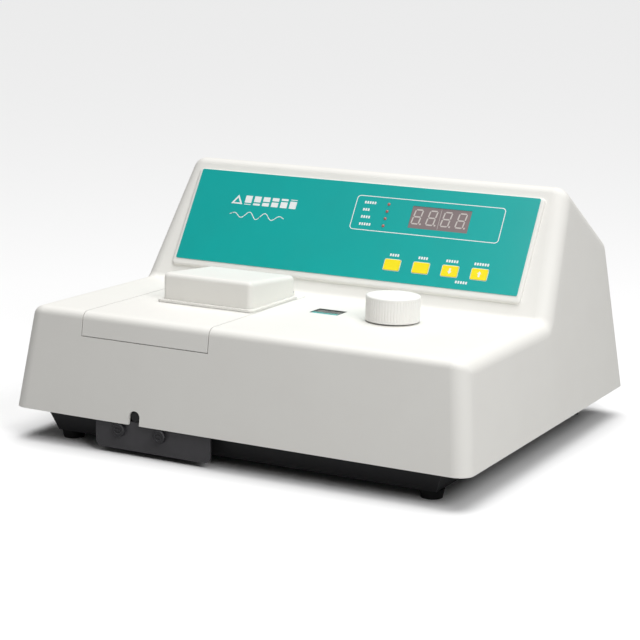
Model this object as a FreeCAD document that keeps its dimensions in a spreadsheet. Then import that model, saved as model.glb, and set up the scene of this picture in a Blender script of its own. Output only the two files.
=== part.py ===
import FreeCAD, Part
import math
import operator
import os
import Sketcher

# A single-beam visible spectrophotometer. The front is towards -Y and the right-hand side is
# towards +X. The part's origin is on the table, under the middle of the casing.
#
# Places inside this file are given from the casing's own datum: x from the casing's middle,
# y back from its lower front edge and z up from its lower edge. put() moves them to the
# part's frame.

doc = FreeCAD.newDocument("Spectrophotometer")
sheet = doc.addObject("Spreadsheet::Sheet", "dim")

sizes = {
    # casing
    "shell_width": 460.0, "shell_depth": 412.0, "deck_height": 95.8, "front_lean": 12.3,
    "side_lean": 0.12, "panel_foot": 208.6, "panel_angle": 58.5, "panel_length": 139.5,
    "knee_lean": 25.3, "knee_height": 148.0, "wall": 3.0, "corner_radius": 15.0,
    "edge_radius": 8.0, "ridge_radius": 10.0, "boss_width": 12.0, "boss_height": 14.0,
    "boss_inset": 11.0, "boss_front": 40.0, "boss_rear_inset": 44.0,
    # base
    "foot_height": 8.0, "foot_radius": 11.0, "foot_taper": 1.5, "foot_side_inset": 46.0,
    "foot_front": 34.0, "foot_rear_inset": 34.0, "pan_depth": 22.0, "sheet_metal": 1.5,
    "pan_side_inset": 29.0, "pan_front_inset": 15.0, "pan_rear_inset": 21.7,
    "pan_slope": 20.0, "flange_gap": 0.5, "flange_front": 8.0, "screw_radius": 2.0,
    "screw_head": 4.0, "screw_head_height": 2.5, "screw_gap": 0.2,
    # front plate
    "plate_left": -139.0, "plate_right": -18.0, "plate_top": 2.0, "plate_low": -25.0,
    "plate_front": 4.0, "plate_thick": 2.0, "plate_corner": 6.0, "thumb_radius": 6.5,
    "thumb_height": 4.0, "thumb_level": -7.0, "thumb_left": -113.0, "thumb_right": -70.0,
    "stud_radius": 5.0, "stud_length": 14.0,
    # access cover and sample lid
    "cover_left": -158.4, "cover_right": -25.8, "cover_low": 74.0, "cover_rear": 193.8,
    "seam": 0.8, "ledge": 4.5, "ledge_thick": 2.2, "seat_gap": 0.2,
    "lid_left": -126.0, "lid_right": -31.0, "lid_front": 96.0, "lid_rear": 183.0,
    "lid_front_height": 28.0, "lid_rear_height": 22.0, "lid_radius": 4.5, "lid_wall": 2.5,
    "lid_rim": 4.0, "lid_rim_thick": 2.0, "lid_gap": 0.4, "port_margin": 6.0,
    "seal_width": 4.0, "seal_height": 6.0, "hinge_back": 4.6, "hinge_height": 4.2,
    "hinge_pin_radius": 1.5, "hinge_knuckle": 3.4, "running_gap": 0.05, "knuckle": 9.0,
    "knuckle_gap": 0.4,
    # sample chamber and cell changer
    "chamber_left": -150.0, "chamber_right": -34.0, "chamber_front": 26.0,
    "chamber_rear": 188.0, "chamber_low": -5.0, "chamber_clearance": 0.8, "chamber_wall": 2.0,
    "beam_back": 112.0, "beam_height": 30.0, "beam_radius": 5.0, "rod_across": -96.0,
    "rod_height": 7.1, "rod_radius": 3.0, "rod_front": 14.0, "grip_radius": 4.5,
    "grip_front": 3.0, "grip_length": 13.0, "notch_radius": 5.8, "bush_radius": 6.0,
    "bush_length": 8.0, "rack_width": 32.0, "rack_base": 10.0, "rack_wall_height": 30.0,
    "slide_gap": 0.3, "rail_width": 4.0, "rail_height": 4.0,
    "rail_spacing": 22.0, "cell_pitch": 20.0, "cell_width": 12.5, "cell_height": 45.0,
    "cell_wall": 1.25, "cell_floor": 3.0, "cell_gap": 0.2, "cell_window": 7.0,
    # control panel
    "pad_proud": 3.0, "pad_margin": 4.0, "pad_lip": 7.0, "pad_top_margin": 1.5,
    "overlay_left_inset": 44.0, "overlay_right_inset": 47.0, "overlay_low": 21.3,
    "overlay_high": 121.2, "overlay_thick": 0.6, "overlay_corner": 1.5, "pane_right_inset": 65.0,
    "pane_width": 61.6, "pane_low": 78.6, "pane_high": 101.7, "pane_thick": 1.8,
    "pane_recess": 0.3, "pane_rebate": 1.2, "trim_gap": 0.15, "display_thick": 8.0,
    "led_inset": 152.4, "led_low": 77.8, "led_pitch": 7.7, "led_radius": 1.5,
    "led_gap": 0.1, "board_depth": 12.4, "board_thick": 1.6, "board_margin": 12.0,
    "key_inset": 140.2, "key_pitch": 30.1, "key_width": 16.3, "key_low": 33.0,
    "key_height": 10.9, "key_proud": 0.5, "key_gap": 0.3, "key_flange": 1.1,
    "key_flange_thick": 1.0, "key_stem": 2.0, "key_stem_length": 2.9,
    "switch_width": 6.0, "switch_height": 4.4,
    # wavelength drive
    "knob_across": 95.5, "knob_back": 134.5, "knob_radius": 25.0, "knob_height": 22.8,
    "knob_gap": 1.5, "knob_chamfer": 1.5, "knob_flute": 0.7, "flute_sink": 0.3,
    "flute_count": 56.0, "flute_margin": 2.4, "knob_wall": 3.0,
    "knob_boss": 8.0, "shaft_radius": 3.0, "shaft_tail": 2.0, "gear_module": 1.0,
    "pinion_teeth": 16.0, "wheel_teeth": 71.0, "gear_width": 5.0, "gear_drop": 14.5,
    "gear_backlash": 0.35, "gear_tip": 0.9, "gear_root": 1.25, "dial_radius": 38.0, "dial_drop": 6.8,
    "dial_thick": 1.5, "dial_hub": 8.0, "window_left": 12.7, "window_right": 41.9,
    "window_front": 128.6, "window_back": 150.8, "window_lap": 3.0, "window_thick": 1.5,
    "window_sink": 0.35,
    "cam_low_radius": 18.0, "cam_rise": 12.0, "cam_turn": 320.0, "cam_drop": 12.5,
    "cam_thick": 5.0, "plate_drop": 6.0, "plate_gauge": 3.0, "gear_plate_left": 22.0,
    "gear_plate_right": 128.0, "gear_plate_front": 99.5, "gear_plate_back": 181.5,
    "post_radius": 3.0, "post_inset": 6.0, "deck_bush_radius": 9.0, "deck_bush_lip": 2.0,
    # optics
    "bench_left": -28.0, "bench_right": 206.0, "bench_front": 22.0, "bench_back": 202.0,
    "bench_level": 4.0, "bench_thick": 6.0, "mono_left": -22.0, "mono_right": 128.0,
    "mono_front": 36.0, "mono_back": 196.0, "mono_top": 50.0, "mono_wall": 2.5,
    "slit_plate": 20.0, "slit_thick": 1.5, "slit_height": 8.0, "slit_width": 1.0,
    "lamp_back": 60.0, "grating_offset": 35.0, "grating_back": 161.5, "table_radius": 13.0,
    "table_thick": 4.0, "table_level": 12.0, "grating_width": 24.0, "grating_height": 24.0,
    "grating_thick": 6.0, "grating_plate": 3.0, "lever_length": 35.0, "lever_angle": 188.2,
    "lever_width": 8.0, "lever_thick": 3.0, "lever_gap": 1.0, "lever_hub": 6.0,
    "roller_radius": 4.0, "cam_gap": 0.4, "mirror_radius": 16.0, "mirror_thick": 5.0,
    "mirror_across": -4.0, "mirror_back": 66.0, "mount_thick": 10.0, "mount_width": 36.0,
    "mount_height": 36.0, "lens_across": 140.0, "lens_radius": 10.0, "lens_thick": 5.0,
    "lens_mount_width": 28.0, "lamp_house_left": 154.0, "lamp_house_right": 204.0,
    "lamp_house_front": 34.0, "lamp_house_back": 86.0, "lamp_house_top": 66.0,
    "lamp_across": 178.0, "lamp_radius": 5.0, "lamp_length": 26.0, "socket_radius": 9.0,
    "socket_height": 12.0, "vent_width": 3.0, "vent_pitch": 7.0, "vent_length": 30.0,
    "detector_left": -190.0, "detector_width": 36.0, "detector_low": 12.0,
    "detector_top": 50.0, "detector_wall": 2.5, "diode_radius": 7.0, "diode_length": 14.0,
    # electronics
    "main_left": -120.0, "main_right": 60.0, "main_front": 228.0, "main_back_inset": 56.0,
    "main_level": -8.0, "core_left": 100.0, "core_width": 62.0, "core_front": 262.0,
    "core_depth": 40.0, "core_height": 54.0, "coil_overhang": 14.0, "coil_width": 42.0,
    "coil_height": 34.0, "leg_width": 20.0,
    # rear panel
    "rear_recess": 18.2, "rear_side_inset": 44.0, "rear_top": 78.0, "rear_cut_inset": 50.0,
    "rear_cut_top": 72.0, "inlet_across": 140.0, "inlet_width": 27.0, "inlet_height": 20.0,
    "inlet_level": 34.0, "inlet_depth": 22.0, "inlet_lip": 5.0, "socket_width": 22.0,
    "socket_opening": 14.0, "socket_deep": 16.0, "rocker_across": 96.0,
    "rocker_width": 13.0, "rocker_height": 19.0, "rocker_proud": 4.5, "rocker_tilt": 8.0,
    "frame_lip": 3.0, "frame_wall": 1.5, "frame_depth": 18.0,
    "rocker_gap": 0.5, "fuse_across": 62.0, "fuse_radius": 6.0, "fuse_cap": 8.0,
    "fuse_length": 30.0, "serial_across": -60.0, "serial_width": 31.0,
    "serial_height": 12.5, "serial_depth": 10.0, "serial_shell": 17.0,
    "serial_shell_height": 8.4, "serial_proud": 6.0, "grille_across": -140.0,
}

for row, (name, number) in enumerate(sizes.items(), start=1):
    sheet.set("A%d" % row, name)
    sheet.set("B%d" % row, str(number))
    sheet.setAlias("B%d" % row, name)
doc.recompute()


class Size:
    """A number from the sheet, or worked out from its cells, with its expression."""

    def __init__(self, text, value):
        self.text = text
        self.value = value

    def __add__(self, other):
        return worked_out(self, "+", other)

    def __radd__(self, other):
        return worked_out(other, "+", self)

    def __sub__(self, other):
        return worked_out(self, "-", other)

    def __rsub__(self, other):
        return worked_out(other, "-", self)

    def __mul__(self, other):
        return worked_out(self, "*", other)

    def __rmul__(self, other):
        return worked_out(other, "*", self)

    def __truediv__(self, other):
        return worked_out(self, "/", other)

    def __rtruediv__(self, other):
        return worked_out(other, "/", self)

    def __neg__(self):
        return worked_out(0, "-", self)


signs = {"+": operator.add, "-": operator.sub, "*": operator.mul, "/": operator.truediv}


def as_size(number):
    if isinstance(number, Size):
        return number
    return Size("%.6f" % number, float(number))


def worked_out(left, sign, right):
    left = as_size(left)
    right = as_size(right)
    text = "(%s %s %s)" % (left.text, sign, right.text)
    return Size(text, signs[sign](left.value, right.value))


def sine(angle):
    return Size("sin(%s)" % angle.text, math.sin(math.radians(angle.value)))


def cosine(angle):
    return Size("cos(%s)" % angle.text, math.cos(math.radians(angle.value)))


def tangent(angle):
    return Size("tan(%s)" % angle.text, math.tan(math.radians(angle.value)))


def root(number):
    return Size("sqrt(%s)" % number.text, math.sqrt(number.value))


class Sheet:
    """The sheet's cells by name, so that s.wall is the size called wall."""


s = Sheet()
for name in sizes:
    setattr(s, name, Size("dim." + name, float(sheet.get(name))))

nodes = []
axis_turns = {
    "x": FreeCAD.Rotation(FreeCAD.Vector(0, 1, 0), 90),
    "y": FreeCAD.Rotation(FreeCAD.Vector(1, 0, 0), -90),
    "z": FreeCAD.Rotation(),
}

# Levels and places that several sub-parts share.
lift = s.foot_height + s.pan_depth
middle = s.shell_depth / 2
ridge_back = s.panel_foot + s.panel_length * cosine(s.panel_angle)
ridge_height = s.deck_height + s.panel_length * sine(s.panel_angle)
deck_under = s.deck_height - s.wall
front_slope = s.front_lean / s.deck_height
pan_floor = s.sheet_metal - s.pan_depth
bench_top = s.bench_level + s.bench_thick
centre_distance = s.gear_module * (s.pinion_teeth + s.wheel_teeth) / 2
dial_across = s.knob_across - centre_distance
grating_across = dial_across + s.grating_offset
hinge_y = s.lid_rear + s.hinge_back
hinge_z = s.deck_height + s.hinge_height
casing_half = s.shell_width / 2
knee_back = s.shell_depth - s.knee_lean
boss_rear = s.shell_depth - s.boss_rear_inset
foot_side = casing_half - s.foot_side_inset
foot_rear = s.shell_depth - s.foot_rear_inset
overlay_left = s.overlay_left_inset - casing_half
overlay_right = casing_half - s.overlay_right_inset
overlay_top = s.pad_proud + s.overlay_thick
pane_right = overlay_right - s.pane_right_inset
pane_left = pane_right - s.pane_width
pane_top = overlay_top - s.pane_recess
pane_seat = pane_top - s.pane_thick
led_across = overlay_right - s.led_inset
key_left = overlay_right - s.key_inset
rear_face = s.shell_depth - s.rear_recess
rear_half = casing_half - s.rear_side_inset
rear_cut_half = casing_half - s.rear_cut_inset
main_back = rear_face - s.main_back_inset
chamber_top = deck_under - s.chamber_clearance
dial_level = deck_under - s.dial_drop
gear_level = dial_level - s.gear_drop
plate_level = gear_level - s.plate_drop
cam_level = plate_level - s.cam_drop
lever_level = cam_level + s.cam_thick + s.lever_gap
shaft_low = plate_level - s.shaft_tail
rail_top = s.chamber_low + s.chamber_wall + s.rail_height
rack_low = rail_top + s.slide_gap
rack_floor = rack_low + s.rack_base


def bind(thing, **sizes_by_property):
    for name, number in sizes_by_property.items():
        thing.setExpression(name, as_size(number).text)
    return thing


def put(thing, x, y, z, axis="z"):
    """Place a shape in the part's frame from the casing's datum."""
    base = [as_size(x), y - middle, z + lift]
    corner = FreeCAD.Vector(*[part.value for part in base])
    thing.Placement = FreeCAD.Placement(corner, axis_turns[axis])
    for name, part in zip("xyz", base):
        thing.setExpression("Placement.Base." + name, part.text)
    return thing


def put_on_panel(thing, x, up, out):
    """Place a shape on the sloping panel: up along the slope, out square to it."""
    y = s.panel_foot + up * cosine(s.panel_angle) - out * sine(s.panel_angle)
    z = s.deck_height + up * sine(s.panel_angle) + out * cosine(s.panel_angle)
    put(thing, x, y, z)
    turn = FreeCAD.Rotation(FreeCAD.Vector(1, 0, 0), s.panel_angle.value)
    thing.Placement = FreeCAD.Placement(thing.Placement.Base, turn)
    thing.setExpression("Placement.Rotation.Angle", s.panel_angle.text)
    return thing


def block(name, x, y, z, panel=False):
    """A box between the low and high values given for each direction."""
    thing = doc.addObject("Part::Box", name)
    bind(thing, Length=x[1] - x[0], Width=y[1] - y[0], Height=z[1] - z[0])
    placing = put_on_panel if panel else put
    return placing(thing, x[0], y[0], z[0])


def rod(name, radius, x, y, z, axis="z", panel=False):
    """A round bar. The direction of its axis has two values, and the others have one."""
    ends = {"x": x, "y": y, "z": z}[axis]
    start = {"x": x, "y": y, "z": z, axis: ends[0]}
    thing = doc.addObject("Part::Cylinder", name)
    bind(thing, Radius=radius, Height=ends[1] - ends[0])
    if panel:
        return put_on_panel(thing, start["x"], start["y"], start["z"])
    return put(thing, start["x"], start["y"], start["z"], axis)


def cone(name, low_radius, high_radius, x, y, z):
    thing = doc.addObject("Part::Cone", name)
    bind(thing, Radius1=low_radius, Radius2=high_radius, Height=z[1] - z[0])
    return put(thing, x, y, z[0])


def group(name, pieces):
    thing = doc.addObject("Part::Compound", name)
    thing.Links = pieces
    return thing


def fuse(name, pieces):
    thing = doc.addObject("Part::MultiFuse", name)
    thing.Shapes = pieces
    return thing


def cut(name, base, tools):
    thing = doc.addObject("Part::Cut", name)
    thing.Base = base
    thing.Tool = tools[0] if len(tools) == 1 else group(name + "_tools", tools)
    return thing


def common(name, first, second):
    thing = doc.addObject("Part::Common", name)
    thing.Base = first
    thing.Tool = second
    return thing


def rounded(name, base, radius, chosen):
    """Round the edges of a shape for which chosen(edge) is true."""
    doc.recompute()
    numbers = [number for number, edge in enumerate(base.Shape.Edges, 1) if chosen(edge)]
    thing = doc.addObject("Part::Fillet", name)
    thing.Base = base
    thing.Edges = [(number, radius.value, radius.value) for number in numbers]
    return thing


def node(thing, name=None):
    """Keep a shape as a sub-part under its own name."""
    thing.Label = name or thing.Name
    nodes.append(thing)
    return thing


def run(edge):
    """The direction of an edge, from one end to the other."""
    if len(edge.Vertexes) < 2:
        return FreeCAD.Vector()
    return (edge.Vertexes[1].Point - edge.Vertexes[0].Point).normalize()


def along(*directions):
    """A test for edges that run along one of the directions given."""
    wanted = [FreeCAD.Vector(*direction).normalize() for direction in directions]
    return lambda edge: any(abs(run(edge).dot(way)) > 0.999 for way in wanted)


def level(edge):
    """The height of the middle of an edge above the casing's lower edge."""
    return edge.CenterOfMass.z - lift.value


def body_with(name):
    return doc.addObject("PartDesign::Body", name)


def origin_plane(body, role):
    return next(plane for plane in body.Origin.OriginFeatures if plane.Role == role)


def outline(body, role, corners, name):
    """A closed sketch of straight lines whose corners are bound to the sheet."""
    sketch = body.newObject("Sketcher::SketchObject", name)
    sketch.AttachmentSupport = [(origin_plane(body, role), "")]
    sketch.MapMode = "FlatFace"
    corners = [(as_size(across), as_size(high)) for across, high in corners]
    points = [FreeCAD.Vector(across.value, high.value, 0) for across, high in corners]
    for start, end in zip(points, points[1:] + points[:1]):
        sketch.addGeometry(Part.LineSegment(start, end))
    for number, corner in enumerate(corners):
        following = (number + 1) % len(corners)
        sketch.addConstraint(Sketcher.Constraint("Coincident", number, 2, following, 1))
        for kind, size in zip(("DistanceX", "DistanceY"), corner):
            rule = Sketcher.Constraint(kind, -1, 1, number, 1, size.value)
            place = sketch.addConstraint(rule)
            sketch.setExpression("Constraints[%d]" % place, size.text)
    return sketch


def prism(name, role, corners, length):
    """A body padded both ways from an origin plane."""
    body = body_with(name)
    pad = body.newObject("PartDesign::Pad", name + "_pad")
    pad.Profile = outline(body, role, corners, name + "_sketch")
    bind(pad, Length=length)
    pad.SideType = "Symmetric"
    return body


def is_sharp(shape, edge):
    """True where the two faces beside an edge meet at an angle."""
    point = edge.valueAt((edge.FirstParameter + edge.LastParameter) / 2)
    normals = []
    for face in shape.ancestorsOfType(edge, Part.Face):
        normals.append(face.normalAt(*face.Surface.parameter(point)))
    return len(normals) == 2 and abs(normals[0].dot(normals[1])) < 0.99


def set_in(corners, inset):
    """Move the sides of a closed outline inwards. The corners run anticlockwise."""
    moved = []
    ways = []
    for start, end in zip(corners, corners[1:] + corners[:1]):
        across = end[0] - start[0]
        high = end[1] - start[1]
        length = root(across * across + high * high)
        ways.append((across / length, high / length))
    for number, (across, high) in enumerate(corners):
        before = ways[number - 1]
        after = ways[number]
        share = inset / (1 + before[0] * after[0] + before[1] * after[1])
        moved.append((across - share * (before[1] + after[1]),
                      high + share * (before[0] + after[0])))
    return moved


def casing_form(name, inset, drop, folds):
    """The casing's form: its side profile, with sides that lean in as they rise.

    The inner form is set in by the wall and drops through the open underside. Its knee is
    left sharp, because the wall is thick enough there.
    """
    rear_slope = s.knee_lean / s.knee_height
    profile_corners = set_in([
        (-front_slope * drop, -drop), (s.shell_depth + rear_slope * drop, -drop),
        (knee_back, s.knee_height), (ridge_back, ridge_height),
        (s.panel_foot, s.deck_height), (s.front_lean, s.deck_height)], inset)
    profile = prism(name + "_profile", "YZ_Plane", profile_corners, s.shell_width)
    put(profile, 0, 0, 0)
    knee, ridge, foot = profile_corners[2:5]
    places = {"knee": (knee, s.ridge_radius - inset), "ridge": (ridge, s.ridge_radius - inset),
              "foot": (foot, s.edge_radius + inset)}
    shape = profile
    for fold in folds:
        corner, radius = places[fold]

        def at_fold(edge):
            near = abs(edge.CenterOfMass.y + middle.value - corner[0].value) < 0.01
            return abs(run(edge).x) > 0.99 and abs(level(edge) - corner[1].value) < 0.01 and near
        shape = rounded(name + "_" + fold, shape, radius, at_fold)
    top = ridge_height + s.wall
    side = inset * root(1 + s.side_lean * s.side_lean)
    low_half = casing_half + s.side_lean * drop - side
    high_half = casing_half - s.side_lean * top - side
    taper = prism(name + "_taper", "XZ_Plane", [
        (-low_half, -drop), (low_half, -drop), (high_half, top), (-high_half, top)],
        3 * s.shell_depth)
    put(taper, 0, 0, 0)
    drafted = common(name + "_drafted", shape, taper)

    def upright(edge):
        place = edge.CenterOfMass.y + middle.value
        at_end = place < s.front_lean.value + s.wall.value or place > knee_back.value - s.wall.value
        return at_end and abs(run(edge).z) > 0.9 and abs(run(edge).x) > 0.05
    corners = rounded(name + "_corners", drafted, s.corner_radius - inset, upright)
    doc.recompute()

    def top_edge(edge):
        return level(edge) > s.boss_height.value and is_sharp(corners.Shape, edge)
    return rounded(name, corners, s.edge_radius - inset, top_edge)


def panel_pad():
    """The raised pad that the control panel's overlay is stuck to."""
    margin = s.pad_margin
    pad = block("panel_pad", (overlay_left - margin, overlay_right + margin),
                (s.overlay_low - s.pad_lip, s.overlay_high + s.pad_top_margin),
                (-s.wall / 2, s.pad_proud), panel=True)
    square = rounded("panel_pad_corners", pad, s.pad_margin, along(out_of_panel))
    doc.recompute()

    def outer_rim(edge):
        point = edge.CenterOfMass - panel_corner
        return point.dot(out_of_panel) > s.pad_proud.value - 0.01
    return rounded("panel_pad_soft", square, s.pad_proud * 0.8, outer_rim)


def key_places():
    return [key_left + s.key_pitch * number for number in range(4)]


def led_places():
    return [s.led_low + s.led_pitch * number for number in range(4)]


out_of_panel = FreeCAD.Vector(0, -math.sin(math.radians(s.panel_angle.value)),
                              math.cos(math.radians(s.panel_angle.value)))
panel_corner = FreeCAD.Vector(0, s.panel_foot.value - middle.value,
                              s.deck_height.value + lift.value)
screw_places = [(side * (s.shell_width / 2 - s.boss_inset), back)
                for side in (-1, 1) for back in (s.boss_front, boss_rear)]


def casing_bosses(form):
    """Bosses at the casing's sides that its screws go up into."""
    half = s.boss_width / 2
    low = s.sheet_metal
    posts = [block("boss_%d" % number, (x - half, x + half), (y - half, y + half),
                   (low, s.boss_height)) for number, (x, y) in enumerate(screw_places)]
    return common("bosses", form, fuse("boss_posts", posts))


def cover_ledges():
    """Ledges under the deck that the access cover rests on."""
    low = deck_under - s.ledge_thick
    seat = deck_under - s.seat_gap
    left = s.cover_left - s.seam
    right = s.cover_right + s.seam
    back = s.cover_rear + s.seam
    front = s.front_lean + s.wall
    strips = [
        block("ledge_left", (left - s.ledge, left + s.ledge), (front, back), (low, seat)),
        block("ledge_right", (right - s.ledge, right + s.ledge), (front, back), (low, seat)),
        block("ledge_back", (left - s.ledge, right + s.ledge), (back - s.ledge, back + s.ledge),
              (low, seat)),
        block("ledge_left_root", (left - s.ledge, left), (front, back), (low, deck_under)),
        block("ledge_right_root", (right, right + s.ledge), (front, back), (low, deck_under)),
        block("ledge_back_root", (left - s.ledge, right + s.ledge), (back, back + s.ledge),
              (low, deck_under)),
    ]
    return fuse("cover_ledges", strips)


def shell_openings():
    """Everything that is cut through the casing's wall."""
    through = 3 * s.wall
    above = s.deck_height + through
    tools = [
        block("cover_opening", (s.cover_left - s.seam, s.cover_right + s.seam),
              (-through, s.cover_rear + s.seam), (s.cover_low - s.seam, above)),
        rod("notch_round", s.notch_radius, s.rod_across, (-through, 2 * through),
            s.rod_height, "y"),
        block("notch_slot", (s.rod_across - s.notch_radius, s.rod_across + s.notch_radius),
              (-through, 2 * through), (-through, s.rod_height)),
        block("dial_opening", (s.window_left, s.window_right),
              (s.window_front, s.window_back), (deck_under - through, above)),
        rod("knob_opening", s.deck_bush_radius + s.running_gap, s.knob_across, s.knob_back,
            (deck_under - through, above)),
        block("rear_opening", (-rear_cut_half, rear_cut_half),
              (knee_back - through, s.shell_depth + through), (-through, s.rear_cut_top)),
        block("pane_opening", (pane_left + s.pane_rebate, pane_right - s.pane_rebate),
              (s.pane_low + s.pane_rebate, s.pane_high - s.pane_rebate),
              (-through, through), panel=True),
        block("pane_rebate", (pane_left - s.trim_gap, pane_right + s.trim_gap),
              (s.pane_low - s.trim_gap, s.pane_high + s.trim_gap),
              (pane_seat, through), panel=True),
    ]
    for number, up in enumerate(led_places()):
        tools.append(rod("led_opening_%d" % number, s.led_radius + s.led_gap, led_across, up,
                         (-through, through), panel=True))
    for number, left in enumerate(key_places()):
        tools.append(block("key_opening_%d" % number,
                           (left - s.key_gap, left + s.key_width + s.key_gap),
                           (s.key_low - s.key_gap, s.key_low + s.key_height + s.key_gap),
                           (-through, through), panel=True))
    for number, (x, y) in enumerate(screw_places):
        tools.append(rod("boss_hole_%d" % number, s.screw_radius + s.screw_gap / 2, x, y,
                         (-through, s.boss_height - s.sheet_metal)))
    return tools


def make_casing():
    form = casing_form("casing", as_size(0), as_size(0), ("ridge", "knee", "foot"))
    space = casing_form("casing_space", s.wall, 4 * s.wall, ("ridge", "foot"))
    walls = cut("casing_wall", form, [space])
    solid = fuse("casing_parts", [walls, panel_pad(), casing_bosses(form), cover_ledges()])
    node(cut("top_shell", solid, shell_openings()))
    return walls


def make_access_cover(walls):
    """The loose cover over the sample chamber: a piece of the casing's own deck and front."""
    reach = 3 * s.wall
    piece = block("cover_piece", (s.cover_left, s.cover_right), (-reach, s.cover_rear),
                  (s.cover_low, s.deck_height + reach))
    sheet_piece = common("cover_sheet", walls, piece)
    margin = s.port_margin
    port = block("cover_port", (s.lid_left + margin, s.lid_right - margin),
                 (s.lid_front + margin, s.lid_rear - margin),
                 (deck_under - reach, s.deck_height + reach))
    relief = block("cover_relief", (s.cover_left - reach, s.cover_right + reach),
                   (s.front_lean + s.wall, s.cover_rear + reach),
                   (deck_under - s.wall, deck_under + s.seat_gap))
    lugs = []
    spans = lug_spans()
    for number, (low, high) in enumerate(spans):
        foot = block("lug_foot_%d" % number, (low, high),
                     (hinge_y - s.hinge_knuckle, hinge_y + s.hinge_knuckle),
                     (s.deck_height - s.wall / 2, hinge_z))
        barrel = rod("lug_%d" % number, s.hinge_knuckle, (low, high), hinge_y, hinge_z, "x")
        lugs += [foot, barrel]
    solid = fuse("cover_solid", [sheet_piece] + lugs)
    bore = rod("cover_bore", s.hinge_pin_radius + s.running_gap,
               (s.lid_left, s.lid_right), hinge_y, hinge_z, "x")
    node(cut("access_cover", solid, [port, relief, bore]))


def lug_spans():
    """The cover's three hinge lugs, at the lid's two ends and its middle."""
    centre = (s.lid_left + s.lid_right) / 2
    inner = s.lid_left + s.lid_radius
    outer = s.lid_right - s.lid_radius
    return [(inner, inner + s.knuckle), (centre - s.knuckle / 2, centre + s.knuckle / 2),
            (outer - s.knuckle, outer)]


def knuckle_spans():
    """The lid's two hinge knuckles, just inside the cover's outer lugs."""
    spans = lug_spans()
    left = spans[0][1] + s.knuckle_gap
    right = spans[-1][0] - s.knuckle_gap
    return [(left, left + s.knuckle), (right - s.knuckle, right)]


def lid_block(name, inset, low):
    """The lid's wedge, or its cavity when inset by the lid's wall."""
    length = s.lid_rear - s.lid_front - 2 * inset
    fall = (s.lid_front_height - s.lid_rear_height) / (s.lid_rear - s.lid_front)
    front_top = s.lid_front_height - inset - fall * inset
    rear_top = front_top - fall * length
    wedge = prism(name, "YZ_Plane", [(0, low), (length, low), (length, rear_top),
                                     (0, front_top)],
                  s.lid_right - s.lid_left - 2 * inset)
    return put(wedge, (s.lid_left + s.lid_right) / 2, s.lid_front + inset, s.deck_height)


def make_sample_lid():
    wedge = lid_block("lid_wedge", as_size(0), s.lid_gap)
    floor = s.deck_height + s.lid_gap

    def not_under(edge):
        return level(edge) > floor.value + 0.1
    soft = rounded("lid_soft", wedge, s.lid_radius, not_under)
    rim = block("lid_rim", (s.lid_left - s.lid_rim, s.lid_right + s.lid_rim),
                (s.lid_front - s.lid_rim, s.lid_rear), (floor, floor + s.lid_rim_thick))
    rim_soft = rounded("lid_rim_soft", rim, s.lid_rim, along((0, 0, 1)))
    arms = []
    for number, (low, high) in enumerate(knuckle_spans()):
        arms.append(block("lid_arm_%d" % number, (low, high), (s.lid_rear - s.lid_wall / 2, hinge_y),
                          (hinge_z - s.hinge_knuckle, hinge_z + s.hinge_knuckle)))
        arms.append(rod("lid_knuckle_%d" % number, s.hinge_knuckle, (low, high), hinge_y,
                        hinge_z, "x"))
    solid = fuse("lid_solid", [soft, rim_soft] + arms)
    cavity = lid_block("lid_cavity", s.lid_wall, s.lid_gap - s.lid_wall)
    bore = rod("lid_bore", s.hinge_pin_radius + s.running_gap, (s.lid_left, s.lid_right),
               hinge_y, hinge_z, "x")
    node(cut("sample_lid", solid, [cavity, bore]))
    node(rod("hinge_pin", s.hinge_pin_radius, (s.lid_left + s.lid_radius,
                                               s.lid_right - s.lid_radius), hinge_y, hinge_z, "x"))
    inset = s.lid_wall
    seal = block("seal_outer", (s.lid_left + inset, s.lid_right - inset),
                 (s.lid_front + inset, s.lid_rear - inset), (floor, floor + s.seal_height))
    inset = s.lid_wall + s.seal_width
    reach = s.seal_height
    bore = block("seal_inner", (s.lid_left + inset, s.lid_right - inset),
                 (s.lid_front + inset, s.lid_rear - inset), (floor - reach, floor + 2 * reach))
    node(cut("lid_seal", seal, [bore]))


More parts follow.
